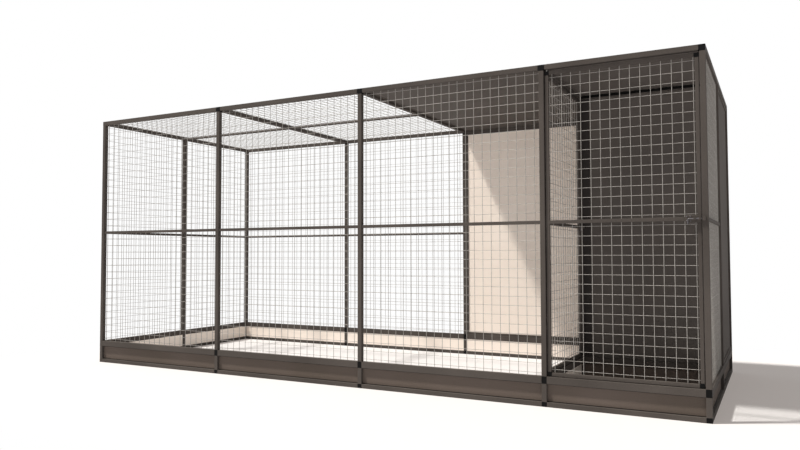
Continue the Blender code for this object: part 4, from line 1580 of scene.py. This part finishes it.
@dataclass(frozen=True)
class Studio:
    """Camera at the photograph's viewpoint, pale floor, soft sky and a soft sun from the front left."""

    camera_place: tuple[float, float, float] = (2.6454, -4.9529, 0.8863)
    camera_yaw: float = 0.4893
    camera_pitch: float = 0.0409
    camera_roll: float = -0.0023
    focal_pixels: float = 708.4
    image_width: float = 800.0
    sensor: float = 36.0
    sun_path: tuple[float, float, float] = (0.48, 0.27, -1.0)
    sun_strength: float = 4.95
    sun_colour: str = "#FFFAF4"
    sun_angle: float = math.radians(4.2)
    sky_strength: float = 0.32
    floor_size: float = 90.0
    floor_colour: str = "#DFDFE3"
    seen_floor_colour: str = "#C0C0C0"
    seen_floor_glow: str = "#857D78"
    shadow_middle: tuple[float, float, float] = (0.5, -0.2, 0.0)
    shadow_reach: tuple[float, float, float] = (3.0, 2.0, 1.0)
    shadow_fade: float = 0.25

    def camera(self) -> None:
        """Set the camera at the photograph's viewpoint."""
        forward = Vector((-math.sin(self.camera_yaw) * math.cos(self.camera_pitch),
                          math.cos(self.camera_yaw) * math.cos(self.camera_pitch),
                          math.sin(self.camera_pitch)))
        level = Vector((math.cos(self.camera_yaw), math.sin(self.camera_yaw), 0))
        above = level.cross(forward)
        right = level * math.cos(self.camera_roll) + above * math.sin(self.camera_roll)
        up = above * math.cos(self.camera_roll) - level * math.sin(self.camera_roll)
        lens = bpy.data.cameras.new("camera")
        lens.sensor_width = self.sensor
        lens.lens = self.sensor * self.focal_pixels / self.image_width
        lens.clip_end = 2 * self.floor_size
        camera = new_object("camera", lens)
        turned = Matrix((right, up, -forward)).transposed().to_4x4()
        camera.matrix_world = Matrix.Translation(self.camera_place) @ turned
        bpy.context.scene.camera = camera

    def sees_white(self, tree: bpy.types.NodeTree) -> bpy.types.NodeSocket:
        """Add the nodes that find the rays for which the studio is white.

        Args:
            tree: the tree of the sky or the floor.

        Returns:
            The socket that is 1 for a ray straight from the camera, or from gloss or glass.
        """
        path = add_node(tree, "ShaderNodeLightPath").outputs
        sharp = add_node(tree, "ShaderNodeMath", {0: path["Is Camera Ray"], 1: path["Is Glossy Ray"]},
                         operation="MAXIMUM")
        seen = add_node(tree, "ShaderNodeMath", {0: sharp.outputs[0], 1: path["Is Transmission Ray"]},
                        operation="MAXIMUM")
        return seen.outputs[0]

    def sky(self) -> None:
        """A plain sky that lights softly and looks white."""
        world = bpy.data.worlds.new("studio")
        bpy.context.scene.world = world
        world.use_nodes = True
        tree = world.node_tree
        tree.nodes.clear()
        strength = add_node(tree, "ShaderNodeMapRange", {"Value": self.sees_white(tree),
                                                         "To Min": self.sky_strength, "To Max": 1.0})
        light = add_node(tree, "ShaderNodeBackground", {"Color": linear(WHITE),
                                                        "Strength": strength.outputs[0]})
        add_node(tree, "ShaderNodeOutputWorld", {"Surface": light.outputs[0]})

    def sun(self) -> None:
        """A soft sun from the front left."""
        lamp = bpy.data.lights.new("sun", "SUN")
        lamp.energy = self.sun_strength
        lamp.color = linear(self.sun_colour)[:3]
        lamp.angle = self.sun_angle
        sun = new_object("sun", lamp)
        sun.rotation_euler = Vector(self.sun_path).to_track_quat("-Z", "Y").to_euler()

    def floor_material(self) -> bpy.types.Material:
        """A pale floor that keeps the aviary's shadow.

        It looks white where the sun meets it, and plain white beyond the box that holds the shadow.

        Returns:
            The material.
        """
        material = empty_material("studio_floor")
        tree = material.node_tree
        seen = self.sees_white(tree)
        colour = add_node(tree, "ShaderNodeMix", {0: seen, MIX_A: linear(self.floor_colour),
                                                  MIX_B: linear(self.seen_floor_colour)}, data_type="RGBA")
        paint = add_node(tree, "ShaderNodeBsdfDiffuse", {"Color": colour.outputs[MIX_RESULT]})
        glow = add_node(tree, "ShaderNodeEmission", {"Color": linear(self.seen_floor_glow), "Strength": seen})
        near = add_node(tree, "ShaderNodeAddShader", {0: paint.outputs[0], 1: glow.outputs[0]})
        place = add_node(tree, "ShaderNodeTexCoord").outputs["Object"]
        for operation, *value in (("SUBTRACT", self.shadow_middle), ("DIVIDE", self.shadow_reach),
                                  ("ABSOLUTE",)):
            place = add_node(tree, "ShaderNodeVectorMath", dict(enumerate([place, *value])),
                             operation=operation).outputs[0]
        axes = add_node(tree, "ShaderNodeSeparateXYZ", {0: place}).outputs
        away = add_node(tree, "ShaderNodeMath", {0: axes[0], 1: axes[1]}, operation="MAXIMUM")
        fade = add_node(tree, "ShaderNodeMapRange", {"Value": away.outputs[0], "From Min": 1.0,
                                                     "From Max": 1.0 + self.shadow_fade})
        plain = add_node(tree, "ShaderNodeMath", {0: fade.outputs[0], 1: seen}, operation="MULTIPLY")
        white = add_node(tree, "ShaderNodeEmission", {"Color": linear(WHITE), "Strength": 1.0})
        both = add_node(tree, "ShaderNodeMixShader", {0: plain.outputs[0], 1: near.outputs[0],
                                                      2: white.outputs[0]})
        add_node(tree, "ShaderNodeOutputMaterial", {"Surface": both.outputs[0]})
        return material

    def floor(self) -> None:
        """The floor, which isn't a piece of the aviary."""
        material = self.floor_material()
        bm = bmesh.new()
        bmesh.ops.create_grid(bm, x_segments=1, y_segments=1, size=self.floor_size / 2)
        mesh = to_mesh("floor", bm)
        mesh.materials.append(material)
        new_object("floor", mesh)

    def build(self) -> None:
        """Set up the studio."""
        self.camera()
        self.sky()
        self.sun()
        self.floor()
        bpy.context.scene.view_settings.view_transform = "Standard"


def main() -> None:
    """Dress the aviary and set it in its studio."""
    logging.basicConfig(level=logging.INFO, format="%(message)s")
    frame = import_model()
    Studio().build()
    plan = Plan.read()
    bench = Workbench()
    screws = Fasteners(bench)
    tubes = TubeFrame(bench, screws, plan)
    tubes.posts()
    tubes.rails()
    tubes.connectors()
    BaseWalls(bench, plan).build()
    meshes = MeshWalls(bench, WireLattice(bench), plan)
    meshes.build()
    SolidPanels(bench, screws).build()
    pivots = {joint["name"]: Vector(joint["pos_m"]) for joint in frame["joints"] if joint["type"] == "hinge"}
    for prefix, leaf, bolt, turn in (("front_door", Body.FRONT_DOOR, Body.FRONT_BOLT, 0.0),
                                     ("inner_door", Body.INNER_DOOR, Body.INNER_BOLT, QUARTER_TURN)):
        Door(screws, meshes, plan, prefix, leaf, bolt, pivots[f"{prefix}_hinge"], turn).build()
    screws.build()
    LOG.info("%d pieces", bench.made)


if __name__ == "__main__":
    main()
